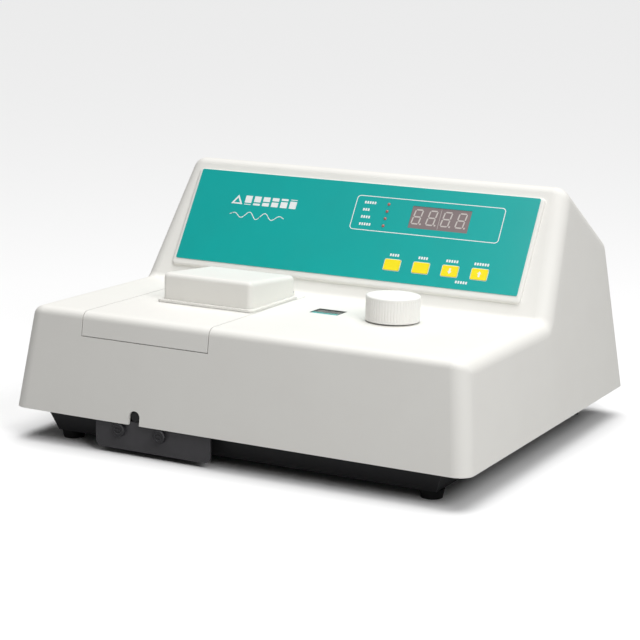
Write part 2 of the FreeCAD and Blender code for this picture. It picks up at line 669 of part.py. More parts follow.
def make_base():
    """The base pan with its out-turned flange, its feet and the casing's screws."""
    half = s.shell_width / 2
    rim_side = half - s.pan_side_inset
    rim_front = s.pan_front_inset
    rim_back = s.shell_depth - s.pan_rear_inset
    fall = s.pan_depth * tangent(s.pan_slope)

    def tray(name, inset, top, low):
        """A tray whose sides slope in by fall over the pan's depth."""
        side = rim_side - inset
        scale = fall / s.pan_depth
        section = prism(name + "_across", "XZ_Plane", [
            (-(side + scale * top), top), (side + scale * top, top),
            (side + scale * low, low), (-(side + scale * low), low)], 3 * s.shell_depth)
        put(section, 0, 0, 0)
        front = rim_front + inset
        back = rim_back - inset
        length = prism(name + "_along", "YZ_Plane", [
            (front - scale * top, top), (back + scale * top, top),
            (back + scale * low, low), (front - scale * low, low)], s.shell_width)
        put(length, 0, 0, 0)
        return common(name, section, length)
    outer = tray("pan_outer", as_size(0), s.sheet_metal, -s.pan_depth)
    inner = tray("pan_inner", s.sheet_metal, 3 * s.sheet_metal, pan_floor)
    edge = half - s.wall - s.flange_gap
    sheet_rim = block("pan_rim", (-edge, edge), (s.flange_front, rear_face + 2 * s.wall),
                      (0, s.sheet_metal))
    flange = rounded("pan_flange", sheet_rim, s.corner_radius, along((0, 0, 1)))
    studs = [rod("stud_%d" % number, s.stud_radius, x,
                 (s.plate_front + s.plate_thick, s.plate_front + s.plate_thick + s.stud_length),
                 s.thumb_level, "y") for number, x in enumerate((s.thumb_left, s.thumb_right))]
    holes = [rod("stud_hole_%d" % number, s.screw_radius + s.screw_gap / 2, x,
                 (s.plate_front, s.plate_front + 3 * s.stud_length), s.thumb_level, "y")
             for number, x in enumerate((s.thumb_left, s.thumb_right))]
    for number, (x, y) in enumerate(screw_places):
        holes.append(rod("flange_hole_%d" % number, s.screw_radius + s.screw_gap / 2, x, y,
                         (-s.wall, 2 * s.wall)))
    for number, (x, y) in enumerate(foot_places):
        holes.append(rod("foot_hole_%d" % number, s.screw_radius + s.screw_gap / 2, x, y,
                         (-s.pan_depth - s.wall, pan_floor + s.wall)))
    for number in range(vent_count):
        x = s.lamp_across + s.vent_pitch * (number - vent_count / 2)
        holes.append(block("pan_vent_%d" % number, (x, x + s.vent_width),
                           (s.lamp_back - s.vent_length / 2, s.lamp_back + s.vent_length / 2),
                           (-s.pan_depth - s.wall, pan_floor + s.wall)))
    solid = fuse("pan_solid", [outer, flange])
    tub = cut("pan_tub", solid, [inner])
    node(cut("base_pan", fuse("pan_with_studs", [tub] + studs), holes))

    feet = []
    screws = []
    for number, (x, y) in enumerate(foot_places):
        low = -s.pan_depth - s.foot_height
        foot = cone("foot_%d" % number, s.foot_radius - s.foot_taper, s.foot_radius, x, y,
                    (low, -s.pan_depth))
        head_top = low + s.foot_height / 2
        recess = rod("foot_recess_%d" % number, s.screw_head + s.screw_gap, x, y,
                     (low - s.wall, head_top))
        way = rod("foot_way_%d" % number, s.screw_radius + s.screw_gap / 2, x, y,
                  (low, lift - s.pan_depth))
        feet.append(cut("foot_body_%d" % number, foot, [recess, way]))
        screws.append(screw("foot_screw_%d" % number, x, y, head_top, pan_floor + s.wall))
    node(group("rubber_feet", feet))
    for number, (x, y) in enumerate(screw_places):
        screws.append(screw("shell_screw_%d" % number, x, y, as_size(0),
                            s.boss_height - 2 * s.sheet_metal))
    node(group("casing_screws", screws))


def screw(name, x, y, seat, top):
    """A pan-head screw pointing up, with its head under the seat."""
    head = rod(name + "_head", s.screw_head, x, y, (seat - s.screw_head_height, seat))
    shank = rod(name + "_shank", s.screw_radius, x, y, (seat - s.screw_head_height, top))
    return fuse(name, [head, shank])


foot_places = [(side * foot_side, back) for side in (-1, 1)
               for back in (s.foot_front, foot_rear)]
vent_count = 5


def make_front_plate():
    """The dark plate low at the front, held to the base pan by two thumb-screws."""
    face = (s.plate_front, s.plate_front + s.plate_thick)
    plate = block("plate_blank", (s.plate_left, s.plate_right), face,
                  (s.plate_low, s.plate_top))

    def low_corner(edge):
        return abs(run(edge).y) > 0.99 and level(edge) < s.plate_low.value + 0.1
    soft = rounded("plate_soft", plate, s.plate_corner, low_corner)
    holes = []
    screws = []
    for number, x in enumerate((s.thumb_left, s.thumb_right)):
        holes.append(rod("plate_hole_%d" % number, s.screw_radius + s.screw_gap / 2, x,
                         (face[0] - s.wall, face[1] + s.wall), s.thumb_level, "y"))
        head = rod("thumb_head_%d" % number, s.thumb_radius, x,
                   (face[0] - s.thumb_height, face[0]), s.thumb_level, "y")
        shank = rod("thumb_shank_%d" % number, s.screw_radius, x,
                    (face[0] - s.thumb_height / 2, face[1] + s.stud_length), s.thumb_level, "y")
        screws.append(fuse("thumb_screw_%d" % number, [head, shank]))
    node(cut("front_plate", soft, holes))
    node(group("plate_screws", screws))


walls = make_casing()
make_access_cover(walls)
make_sample_lid()
make_base()
make_front_plate()


def make_control_panel():
    """The overlay, display, lights and keys of the sloping panel, and the board behind."""
    board_out = -s.board_depth
    overlay = block("overlay_blank", (overlay_left, overlay_right),
                    (s.overlay_low, s.overlay_high), (s.pad_proud, overlay_top), panel=True)
    soft = rounded("overlay_soft", overlay, s.overlay_corner, along(out_of_panel))
    reach = s.wall
    low = s.pad_proud - reach
    high = overlay_top + reach
    gap = s.trim_gap
    holes = [block("overlay_pane", (pane_left - gap, pane_right + gap),
                   (s.pane_low - gap, s.pane_high + gap), (low, high), panel=True)]
    lights = []
    for number, up in enumerate(led_places()):
        holes.append(rod("overlay_led_%d" % number, s.led_radius + s.led_gap, led_across, up,
                         (low, high), panel=True))
        lights.append(rod("led_%d" % number, s.led_radius, led_across, up,
                          (board_out, overlay_top), panel=True))
    for number, left in enumerate(key_places()):
        gap = s.key_gap
        holes.append(block("overlay_key_%d" % number, (left - gap, left + s.key_width + gap),
                           (s.key_low - gap, s.key_low + s.key_height + gap), (low, high),
                           panel=True))
        make_key(number, left)
    node(cut("panel_overlay", soft, holes))
    node(block("display_window", (pane_left, pane_right), (s.pane_low, s.pane_high),
               (pane_seat, pane_top), panel=True))
    node(block("digit_display", (pane_left + s.pane_rebate, pane_right - s.pane_rebate),
               (s.pane_low + s.pane_rebate, s.pane_high - s.pane_rebate),
               (board_out, board_out + s.display_thick), panel=True))
    node(group("indicator_leds", lights))
    margin = s.board_margin
    left = led_across - margin
    right = key_places()[3] + s.key_width + margin
    node(block("display_board", (left, right), (s.key_low - margin, s.pane_high + margin),
               (board_out - s.board_thick, board_out), panel=True))
    inset = s.post_inset
    posts = [rod("display_post_%d_%d" % (column, line), s.post_radius, x, up,
                 (board_out, -s.wall), panel=True)
             for column, x in enumerate((left + inset, right - inset))
             for line, up in enumerate((s.key_low - margin + inset,
                                        s.pane_high + margin - inset))]
    switches = []
    for number, left_side in enumerate(key_places()):
        x = left_side + s.key_width / 2
        up = s.key_low + s.key_height / 2
        half = s.switch_width / 2
        switches.append(block("switch_%d" % number, (x - half, x + half), (up - half, up + half),
                              (board_out, board_out + s.switch_height), panel=True))
    node(group("key_switches", switches))
    return posts


def make_key(number, left):
    """One key: its cap, the flange that keeps it in and the stem that works its switch."""
    right = left + s.key_width
    high = s.key_low + s.key_height
    under = -s.wall - s.key_flange_thick
    cap = block("key_cap_%d" % number, (left, right), (s.key_low, high),
                (under, overlay_top + s.key_proud), panel=True)
    soft = rounded("key_soft_%d" % number, cap, s.overlay_corner, along(out_of_panel))
    lip = s.key_flange
    flange = block("key_flange_%d" % number, (left - lip, right + lip),
                   (s.key_low - lip, high + lip), (under, -s.wall), panel=True)
    stem = rod("key_stem_%d" % number, s.key_stem, (left + right) / 2, (s.key_low + high) / 2,
               (under - s.key_stem_length, under), panel=True)
    node(fuse("panel_key_%d" % (number + 1), [soft, flange, stem]))


def toothed_wheel(name, teeth, x, y, phase, bore):
    """A spur gear with straight-sided teeth, thinned by the backlash."""
    count = int(round(teeth.value))
    module = s.gear_module.value
    pitch = count * module / 2
    root = pitch - s.gear_root.value * module
    tip = pitch + s.gear_tip.value * module
    thick = math.pi * module / 2 - s.gear_backlash.value
    levels = ((root, thick * 1.35), (pitch, thick), (tip, thick * 0.5))
    flank = [(radius, -width / 2 / radius) for radius, width in levels]
    flank += [(radius, width / 2 / radius) for radius, width in reversed(levels)]
    corners = []
    for tooth in range(count):
        turn = math.radians(phase) + 2 * math.pi * tooth / count
        corners += [FreeCAD.Vector(radius * math.cos(turn + angle),
                                   radius * math.sin(turn + angle), 0)
                    for radius, angle in flank]
    face = Part.Face(Part.makePolygon(corners + corners[:1]))
    wheel = face.extrude(FreeCAD.Vector(0, 0, s.gear_width.value))
    wheel = wheel.cut(Part.makeCylinder(bore.value, 3 * s.gear_width.value,
                                        FreeCAD.Vector(0, 0, -s.gear_width.value)))
    thing = doc.addObject("Part::Feature", name)
    thing.Shape = wheel
    return put(thing, x, y, gear_level)


def spiral_cam():
    """The cam that turns the grating: its radius grows evenly over the dial's turn."""
    turn = s.cam_turn.value
    low = s.cam_low_radius.value - s.cam_gap.value
    rise = s.cam_rise.value

    def rim_point(share):
        angle = math.radians(90 + turn * share)
        radius = low + rise * share
        return FreeCAD.Vector(radius * math.cos(angle), radius * math.sin(angle), 0)
    steps = 24
    spiral = Part.BSplineCurve()
    spiral.interpolate([rim_point(step / steps) for step in range(steps + 1)])
    closing = Part.LineSegment(rim_point(1), rim_point(0))
    face = Part.Face(Part.Wire([spiral.toShape(), closing.toShape()]))
    solid = face.extrude(FreeCAD.Vector(0, 0, s.cam_thick.value))
    bore = Part.makeCylinder(s.shaft_radius.value + s.running_gap.value,
                             s.cam_thick.value * 3, FreeCAD.Vector(0, 0, -s.cam_thick.value))
    thing = doc.addObject("Part::Feature", "wavelength_cam")
    thing.Shape = solid.cut(bore)
    return put(thing, dial_across, s.knob_back, cam_level)


def make_knob():
    """The fluted knob, hollow underneath round its boss."""
    low = s.deck_height + s.knob_gap
    high = low + s.knob_height
    blank = rod("knob_blank", s.knob_radius, s.knob_across, s.knob_back, (low, high))
    top_rim = rounded("knob_soft", blank, s.knob_chamfer,
                      lambda edge: level(edge) > high.value - 0.1)
    flutes = []
    count = int(round(s.flute_count.value))
    reach = s.knob_radius + s.flute_sink
    for number in range(count):
        turn = 2 * math.pi * number / count
        x = s.knob_across + reach * math.cos(turn)
        y = s.knob_back + reach * math.sin(turn)
        flutes.append(rod("flute_%d" % number, s.knob_flute, x, y,
                          (low + s.knob_gap, high - s.flute_margin)))
    skirt = rod("knob_hollow", s.knob_radius - s.knob_wall, s.knob_across, s.knob_back,
                (low - s.wall, high - s.knob_wall))
    boss = rod("knob_boss_space", s.knob_boss, s.knob_across, s.knob_back,
               (low - 2 * s.wall, high))
    hollow = cut("knob_ring", skirt, [boss])
    bore = rod("knob_bore", s.shaft_radius + s.running_gap, s.knob_across, s.knob_back,
               (low - s.wall, high - s.knob_wall))
    node(cut("wavelength_knob", top_rim, flutes + [hollow, bore]))


def make_wavelength_drive():
    """The knob's shaft and pinion, the dial's wheel and cam, and the plate that holds them."""
    make_knob()
    knob_low = s.deck_height + s.knob_gap
    node(rod("knob_shaft", s.shaft_radius, s.knob_across, s.knob_back,
             (shaft_low, knob_low + s.knob_height - s.knob_wall)))
    bore = s.shaft_radius + s.running_gap
    node(toothed_wheel("drive_pinion", s.pinion_teeth, s.knob_across, s.knob_back, 0, bore))
    # The dial's wheel is turned by half a tooth so that a gap faces the pinion's tooth.
    half_tooth = 180 / s.wheel_teeth.value
    pinion_even = int(s.pinion_teeth.value) % 2 == 0
    phase = half_tooth if pinion_even else 0
    node(toothed_wheel("dial_wheel", s.wheel_teeth, dial_across, s.knob_back, phase, bore))
    node(rod("dial_shaft", s.shaft_radius, dial_across, s.knob_back,
             (cam_level, dial_level + s.dial_thick)))
    disc = rod("dial_disc_blank", s.dial_radius, dial_across, s.knob_back,
               (dial_level, dial_level + s.dial_thick))
    hub = rod("dial_disc_hub", s.dial_hub, dial_across, s.knob_back,
              (gear_level + s.gear_width + s.running_gap, dial_level + s.dial_thick))
    way = rod("dial_disc_bore", bore, dial_across, s.knob_back,
              (gear_level, dial_level + 2 * s.dial_thick))
    node(cut("wavelength_dial", fuse("dial_disc", [disc, hub]), [way]))
    node(spiral_cam())

    plate = block("gear_plate_blank", (s.gear_plate_left, s.gear_plate_right),
                  (s.gear_plate_front, s.gear_plate_back),
                  (plate_level, plate_level + s.plate_gauge))
    ways = [rod("plate_way_%d" % number, bore, x, s.knob_back,
                (plate_level - s.wall, plate_level + 2 * s.wall))
            for number, x in enumerate((s.knob_across, dial_across))]
    node(cut("gear_plate", plate, ways))
    inset = s.post_inset
    posts = [rod("gear_post_%d_%d" % (column, line), s.post_radius, x, y,
                 (s.mono_top, plate_level))
             for column, x in enumerate((s.gear_plate_left + inset, s.gear_plate_right - inset))
             for line, y in enumerate((s.gear_plate_front + inset, s.gear_plate_back - inset))]

    lip = rod("deck_bush_lip", s.deck_bush_radius + s.deck_bush_lip, s.knob_across, s.knob_back,
              (deck_under - s.deck_bush_lip, deck_under))
    barrel = rod("deck_bush_barrel", s.deck_bush_radius, s.knob_across, s.knob_back,
                 (deck_under - s.deck_bush_lip, s.deck_height))
    way = rod("deck_bush_bore", bore, s.knob_across, s.knob_back,
              (deck_under - s.wall, s.deck_height + s.wall))
    knob_bush = cut("knob_bush", fuse("deck_bush", [lip, barrel]), [way])
    lap = s.window_lap
    flange = block("window_flange", (s.window_left - lap, s.window_right + lap),
                   (s.window_front - lap, s.window_back + lap),
                   (deck_under - s.window_thick, deck_under))
    pane = block("window_pane", (s.window_left + s.trim_gap, s.window_right - s.trim_gap),
                 (s.window_front + s.trim_gap, s.window_back - s.trim_gap),
                 (deck_under - s.window_thick, s.deck_height - s.window_sink))
    node(fuse("dial_window", [flange, pane]))
    return knob_bush, posts


def make_grating():
    """The grating on its turning table, and the lever whose roller follows the cam."""
    x = grating_across
    y = s.grating_back
    top = s.table_level + s.table_thick
    head = top + s.grating_height + s.table_thick / 2
    half = s.grating_width / 2
    foot = rod("table_foot", s.shaft_radius, x, y, (bench_top - s.bench_thick * 0.7, top))
    disc = rod("table_disc", s.table_radius, x, y, (s.table_level, top))
    back = block("table_back", (x - half, x + half), (y, y + s.grating_plate), (top, head))
    yoke = rod("table_yoke", s.lever_hub, x, y, (head, head + s.table_thick / 2))
    spindle = rod("table_spindle", s.shaft_radius, x, y,
                  (head, lever_level + s.lever_thick))
    node(fuse("grating_table", [foot, disc, back, yoke, spindle]))
    node(block("diffraction_grating", (x - half, x + half), (y - s.grating_thick, y),
               (top, top + s.grating_height)))

    angle = s.lever_angle
    tip_x = x + s.lever_length * cosine(angle)
    tip_y = y + s.lever_length * sine(angle)
    arm = block("lever_arm_blank", (as_size(0), s.lever_length),
                (-s.lever_width / 2, s.lever_width / 2), (as_size(0), s.lever_thick))
    arm_x = x + s.lever_width / 2 * sine(angle)
    arm_y = y - s.lever_width / 2 * cosine(angle)
    put(arm, arm_x, arm_y, lever_level)
    arm.Placement = FreeCAD.Placement(arm.Placement.Base,
                                      FreeCAD.Rotation(FreeCAD.Vector(0, 0, 1), angle.value))
    arm.setExpression("Placement.Rotation.Angle", angle.text)
    high = lever_level + s.lever_thick
    hub = rod("lever_hub", s.lever_hub, x, y, (lever_level, high))
    tip = rod("lever_tip", s.lever_width / 2, tip_x, tip_y, (lever_level, high))
    pin = rod("lever_pin", s.shaft_radius / 2, tip_x, tip_y, (cam_level, lever_level))
    way = rod("lever_bore", s.shaft_radius + s.running_gap, x, y,
              (lever_level - s.wall, high + s.wall))
    lever = cut("lever_body", fuse("lever_solid", [arm, hub, tip, pin]), [way])
    roller = rod("roller_blank", s.roller_radius, tip_x, tip_y,
                 (cam_level, cam_level + s.cam_thick))
    axle_way = rod("roller_bore", s.shaft_radius / 2 + s.running_gap, tip_x, tip_y,
                   (cam_level - s.wall, lever_level))
    node(group("grating_lever", [lever, cut("lever_roller", roller, [axle_way])]))


def make_optics():
    """The bench, the monochromator's cover and what stands in the light's way."""
    beam = s.beam_height
    reach = 3 * s.mono_wall
    bench = block("bench_blank", (s.bench_left, s.bench_right), (s.bench_front, s.bench_back),
                  (s.bench_level, bench_top))
    pivot = rod("bench_pivot", s.shaft_radius + s.running_gap, grating_across, s.grating_back,
                (s.bench_level - s.wall, bench_top + s.wall))
    node(cut("optical_bench", bench, [pivot]))
    inset = 2 * s.post_inset
    posts = [rod("bench_post_%d_%d" % (column, line), s.post_radius, x, y,
                 (pan_floor, s.bench_level))
             for column, x in enumerate((s.bench_left + inset, foot_side - 2 * inset))
             for line, y in enumerate((s.bench_front + inset, s.bench_back - inset))]

    box = block("mono_outer", (s.mono_left, s.mono_right), (s.mono_front, s.mono_back),
                (bench_top, s.mono_top))
    thick = s.mono_wall
    space = block("mono_inner", (s.mono_left + thick, s.mono_right - thick),
                  (s.mono_front + thick, s.mono_back - thick),
                  (bench_top - reach, s.mono_top - thick))
    way_out = rod("mono_exit", s.beam_radius, (s.mono_left - reach, s.mono_left + reach),
                  s.beam_back, beam, "x")
    way_in = rod("mono_entry", s.beam_radius, (s.mono_right - reach, s.mono_right + reach),
                 s.lamp_back, beam, "x")
    spindle = rod("mono_spindle", s.shaft_radius + 2 * s.slide_gap, grating_across,
                  s.grating_back, (s.mono_top - reach, s.mono_top + reach))
    node(cut("monochromator_cover", box, [space, way_out, way_in, spindle]))
    node(group("slit_plates", [
        slit_plate("entrance_slit", s.mono_right, s.lamp_back),
        slit_plate("exit_slit", s.mono_left - s.slit_thick, s.beam_back)]))

    mount = s.mount_width / 2
    mirror_mount = block("mirror_mount", (s.mirror_across - s.mount_thick, s.mirror_across),
                         (s.mirror_back - mount, s.mirror_back + mount),
                         (bench_top, bench_top + s.mount_height))
    node(rod("collimating_mirror", s.mirror_radius, (s.mirror_across,
                                                     s.mirror_across + s.mirror_thick),
             s.mirror_back, beam, "x"))
    half = s.lens_mount_width / 2
    lens_face = (s.lens_across, s.lens_across + s.mount_thick)
    lens_block = block("lens_block", lens_face, (s.lamp_back - half, s.lamp_back + half),
                       (bench_top, bench_top + s.mount_height))
    seat = rod("lens_seat", s.lens_radius + s.running_gap,
               (lens_face[0] - s.wall, lens_face[1] + s.wall), s.lamp_back, beam, "x")
    node(group("optic_mounts", [mirror_mount, cut("lens_mount", lens_block, [seat])]))
    node(rod("condenser_lens", s.lens_radius,
             (lens_face[0] + s.lens_thick / 2, lens_face[0] + s.lens_thick * 1.5),
             s.lamp_back, beam, "x"))
    make_lamp()
    return posts


def slit_plate(name, x, y):
    half = s.slit_plate / 2
    beam = s.beam_height
    plate = block(name + "_plate", (x, x + s.slit_thick), (y - half, y + half),
                  (beam - half, beam + half))
    opening = block(name + "_opening", (x - s.slit_thick, x + 2 * s.slit_thick),
                    (y - s.slit_width / 2, y + s.slit_width / 2),
                    (beam - s.slit_height / 2, beam + s.slit_height / 2))
    return cut(name, plate, [opening])


def make_lamp():
    """The lamp house with its vents, the halogen lamp and its ceramic socket."""
    thick = s.mono_wall
    reach = 3 * thick
    box = block("lamp_outer", (s.lamp_house_left, s.lamp_house_right),
                (s.lamp_house_front, s.lamp_house_back), (bench_top, s.lamp_house_top))
    space = block("lamp_inner", (s.lamp_house_left + thick, s.lamp_house_right - thick),
                  (s.lamp_house_front + thick, s.lamp_house_back - thick),
                  (bench_top - reach, s.lamp_house_top - thick))
    tools = [space, rod("lamp_way", s.lens_radius, (s.lamp_house_left - reach,
                                                    s.lamp_house_left + reach),
                        s.lamp_back, s.beam_height, "x")]
    for number in range(vent_count):
        x = s.lamp_across + s.vent_pitch * (number - vent_count / 2)
        tools.append(block("lamp_vent_%d" % number, (x, x + s.vent_width),
                           (s.lamp_back - s.vent_length / 2, s.lamp_back + s.vent_length / 2),
                           (s.lamp_house_top - reach, s.lamp_house_top + reach)))
    node(cut("lamp_house", box, tools))
    socket_top = bench_top + s.socket_height
    node(rod("lamp_socket", s.socket_radius, s.lamp_across, s.lamp_back,
             (bench_top, socket_top)))
    bulb = rod("bulb", s.lamp_radius, s.lamp_across, s.lamp_back,
               (socket_top, socket_top + s.lamp_length))
    node(rounded("halogen_lamp", bulb, s.lamp_radius * 0.9,
                 lambda edge: level(edge) > (socket_top + s.lamp_length).value - 0.1))


def make_sample_chamber():
    """The black chamber under the cover, with the rails of the cell changer on its floor."""
    thick = s.chamber_wall
    reach = 3 * thick
    box = block("chamber_outer", (s.chamber_left, s.chamber_right),
                (s.chamber_front, s.chamber_rear), (s.chamber_low, chamber_top))
    space = block("chamber_inner", (s.chamber_left + thick, s.chamber_right - thick),
                  (s.chamber_front + thick, s.chamber_rear - thick),
                  (s.chamber_low + thick, chamber_top + reach))
    beam_way = rod("chamber_beam", s.beam_radius,
                   (s.chamber_left - reach, s.chamber_right + reach), s.beam_back,
                   s.beam_height, "x")
    rod_way = rod("chamber_rod_way", s.bush_radius + s.running_gap, s.rod_across,
                  (s.chamber_front - reach, s.chamber_front + reach), s.rod_height, "y")
    rails = [block("rail_%d" % number, (x - s.rail_width / 2, x + s.rail_width / 2),
                   (s.chamber_front + thick, s.chamber_rear - thick),
                   (s.chamber_low + thick, rail_top))
             for number, x in enumerate((s.rod_across - s.rail_spacing / 2,
                                         s.rod_across + s.rail_spacing / 2))]
    node(fuse("sample_chamber", [cut("chamber_box", box, [space, beam_way, rod_way])] + rails))
    inset = 2 * s.post_inset
    posts = [rod("chamber_post_%d_%d" % (column, line), s.post_radius, x, y,
                 (pan_floor, s.chamber_low))
             for column, x in enumerate((s.chamber_left + inset, s.chamber_right - inset))
             for line, y in enumerate((s.chamber_front + inset, s.chamber_rear - inset))]
    barrel = rod("rod_bush_barrel", s.bush_radius, s.rod_across,
                 (s.chamber_front + thick - s.bush_length, s.chamber_front + thick),
                 s.rod_height, "y")
    way = rod("rod_bush_bore", s.rod_radius + s.running_gap, s.rod_across,
              (s.chamber_front - s.bush_length, s.chamber_front + reach), s.rod_height, "y")
    return cut("rod_bush", barrel, [way]), posts


def make_cell_changer():
    """The sliding rack of four cells, and the rod that draws it towards the front."""
    places = [s.beam_back + s.cell_pitch * number for number in range(4)]
    half_width = s.rack_width / 2
    front = places[0] - s.cell_pitch / 2
    back = places[3] + s.cell_pitch / 2
    left = s.rod_across - half_width
    right = s.rod_across + half_width
    block_solid = block("rack_blank", (left, right), (front, back),
                        (rack_low, rack_floor + s.rack_wall_height))
    reach = s.rack_width
    pocket = s.cell_width / 2 + s.cell_gap
    tools = []
    cells = []
    for number, y in enumerate(places):
        tools.append(block("pocket_%d" % number, (s.rod_across - pocket, s.rod_across + pocket),
                           (y - pocket, y + pocket),
                           (rack_floor, rack_floor + 2 * s.rack_wall_height)))
        half = s.cell_window / 2
        tools.append(block("rack_window_%d" % number, (left - reach, right + reach),
                           (y - half, y + half),
                           (rack_floor + s.cell_floor, rack_floor + s.rack_wall_height
                            - s.cell_floor)))
        cells.append(cell(number, y))
    node(cut("cell_rack", block_solid, tools))
    node(group("sample_cells", cells))
    node(rod("changer_rod", s.rod_radius, s.rod_across, (s.rod_front, front), s.rod_height, "y"))
    grip = rod("grip_blank", s.grip_radius, s.rod_across,
               (s.grip_front, s.grip_front + s.grip_length), s.rod_height, "y")
    bore = rod("grip_bore", s.rod_radius + s.running_gap, s.rod_across,
               (s.rod_front - s.running_gap, s.grip_front + 2 * s.grip_length),
               s.rod_height, "y")
    node(cut("rod_grip", grip, [bore]))


def cell(number, y):
    """A square cell open at the top."""
    half = s.cell_width / 2
    outer = block("cell_outer_%d" % number, (s.rod_across - half, s.rod_across + half),
                  (y - half, y + half), (rack_floor, rack_floor + s.cell_height))
    inner = half - s.cell_wall
    space = block("cell_inner_%d" % number, (s.rod_across - inner, s.rod_across + inner),
                  (y - inner, y + inner),
                  (rack_floor + s.cell_floor, rack_floor + 2 * s.cell_height))
    return cut("cell_%d" % number, outer, [space])


def make_detector():
    """The detector's housing on the chamber's left wall, with its photodiode."""
    half = s.detector_width / 2
    thick = s.detector_wall
    box = block("detector_outer", (s.detector_left, s.chamber_left),
                (s.beam_back - half, s.beam_back + half), (s.detector_low, s.detector_top))
    space = block("detector_inner", (s.detector_left + thick, s.chamber_left + thick),
                  (s.beam_back - half + thick, s.beam_back + half - thick),
                  (s.detector_low + thick, s.detector_top - thick))
    node(cut("detector_housing", box, [space]))
    start = s.detector_left + thick
    node(rod("photodiode", s.diode_radius, (start, start + s.diode_length), s.beam_back,
             s.beam_height, "x"))


def make_electronics():
    """The main board on its posts with the parts on it, and the mains transformer."""
    node(block("main_board", (s.main_left, s.main_right), (s.main_front, main_back),
               (s.main_level, s.main_level + s.board_thick)))
    inset = s.post_inset
    posts = [rod("board_post_%d_%d" % (column, line), s.post_radius, x, y,
                 (pan_floor, s.main_level))
             for column, x in enumerate((s.main_left + inset, s.main_right - inset))
             for line, y in enumerate((s.main_front + inset, main_back - inset))]
    top = s.main_level + s.board_thick
    parts = []
    for number in range(4):
        x = s.main_left + s.board_margin * (2 + 3.2 * number)
        parts.append(rod("capacitor_%d" % number, s.board_margin / 2, x,
                         main_back - 2 * s.board_margin, (top, top + 2 * s.board_margin)))
        y = s.main_front + 3 * s.board_margin
        parts.append(block("chip_%d" % number, (x - s.board_margin, x + s.board_margin),
                           (y - s.board_margin / 3, y + s.board_margin / 3),
                           (top, top + s.board_margin / 3)))
    sink_left = s.main_right - 2 * s.board_margin
    for number in range(vent_count):
        y = s.main_front + 2 * s.board_margin + s.vent_pitch * number
        parts.append(block("heat_fin_%d" % number, (sink_left, sink_left + s.board_margin),
                           (y, y + s.vent_width), (top, top + 2 * s.board_margin)))
    node(group("board_components", parts))

    core_mid = s.core_left + s.core_width / 2
    core_back = s.core_front + s.core_depth
    core_low = pan_floor
    coil_low = core_low + (s.core_height - s.coil_height) / 2
    coil = (coil_low, coil_low + s.coil_height)
    leg = block("core_leg", (core_mid - s.leg_width / 2, core_mid + s.leg_width / 2),
                (s.core_front, core_back), coil)
    frame = block("core_frame", (s.core_left, s.core_left + s.core_width),
                  (s.core_front, core_back), (core_low, core_low + s.core_height))
    window = block("core_window", (core_mid - s.coil_width / 2, core_mid + s.coil_width / 2),
                   (s.core_front - s.coil_overhang, core_back + s.coil_overhang), coil)
    node(fuse("transformer_core", [cut("core_opened", frame, [window]), leg]))
    winding = block("coil_blank", (core_mid - s.coil_width / 2, core_mid + s.coil_width / 2),
                    (s.core_front - s.coil_overhang, core_back + s.coil_overhang), coil)
    hole = block("coil_hole", (core_mid - s.leg_width / 2, core_mid + s.leg_width / 2),
                 (s.core_front, core_back), (coil[0] - s.wall, coil[1] + s.wall))
    node(cut("transformer_coil", winding, [hole]))
    return posts


def make_rear_panel():
    """The steel panel seen through the casing's rear opening, and what is fixed to it."""
    face = rear_face
    inside = face - s.sheet_metal
    middle_level = s.inlet_level
    reach = 3 * s.wall
    plate = block("rear_blank", (-rear_half, rear_half), (inside, face),
                  (s.sheet_metal, s.rear_top))
    through = (inside - reach, face + reach)
    frame_half = s.rocker_width / 2 + s.rocker_gap + s.frame_wall
    frame_high = s.rocker_height / 2 + s.rocker_gap + s.frame_wall
    tools = [
        block("rear_inlet_hole", (s.inlet_across - s.inlet_width / 2,
                                  s.inlet_across + s.inlet_width / 2), through,
              (middle_level - s.inlet_height / 2, middle_level + s.inlet_height / 2)),
        block("rear_rocker_hole", (s.rocker_across - frame_half, s.rocker_across + frame_half),
              through, (middle_level - frame_high, middle_level + frame_high)),
        rod("rear_fuse_hole", s.fuse_radius + s.running_gap, s.fuse_across, through,
            middle_level, "y"),
        block("rear_serial_hole", (s.serial_across - s.serial_shell / 2,
                                   s.serial_across + s.serial_shell / 2), through,
              (middle_level - s.serial_shell_height / 2,
               middle_level + s.serial_shell_height / 2)),
    ]
    for number in range(vent_count + 2):
        x = s.grille_across + s.vent_pitch * (number - vent_count / 2)
        tools.append(block("rear_vent_%d" % number, (x, x + s.vent_width), through,
                           (middle_level - s.vent_length / 2, middle_level + s.vent_length / 2)))
    node(cut("rear_panel", plate, tools))
    make_inlet(middle_level)
    make_power_switch(middle_level, frame_half, frame_high)
    barrel = rod("fuse_barrel", s.fuse_radius, s.fuse_across,
                 (face - s.fuse_length, face), middle_level, "y")
    cap = rod("fuse_cap", s.fuse_cap, s.fuse_across, (face, face + s.fuse_cap), middle_level, "y")
    node(fuse("fuse_holder", [barrel, cap]))

    half = s.serial_width / 2
    high = s.serial_height / 2
    flange = block("serial_flange", (s.serial_across - half, s.serial_across + half),
                   (face, face + s.sheet_metal), (middle_level - high, middle_level + high))
    shell_half = s.serial_shell / 2
    shell_high = s.serial_shell_height / 2
    hood = block("serial_hood", (s.serial_across - shell_half, s.serial_across + shell_half),
                 (inside - s.serial_depth, face + s.serial_proud),
                 (middle_level - shell_high, middle_level + shell_high))
    thick = s.sheet_metal / 2
    mouth = block("serial_mouth", (s.serial_across - shell_half + thick,
                                   s.serial_across + shell_half - thick),
                  (face, face + 2 * s.serial_proud),
                  (middle_level - shell_high + thick, middle_level + shell_high - thick))
    node(cut("serial_port", fuse("serial_solid", [flange, hood]), [mouth]))


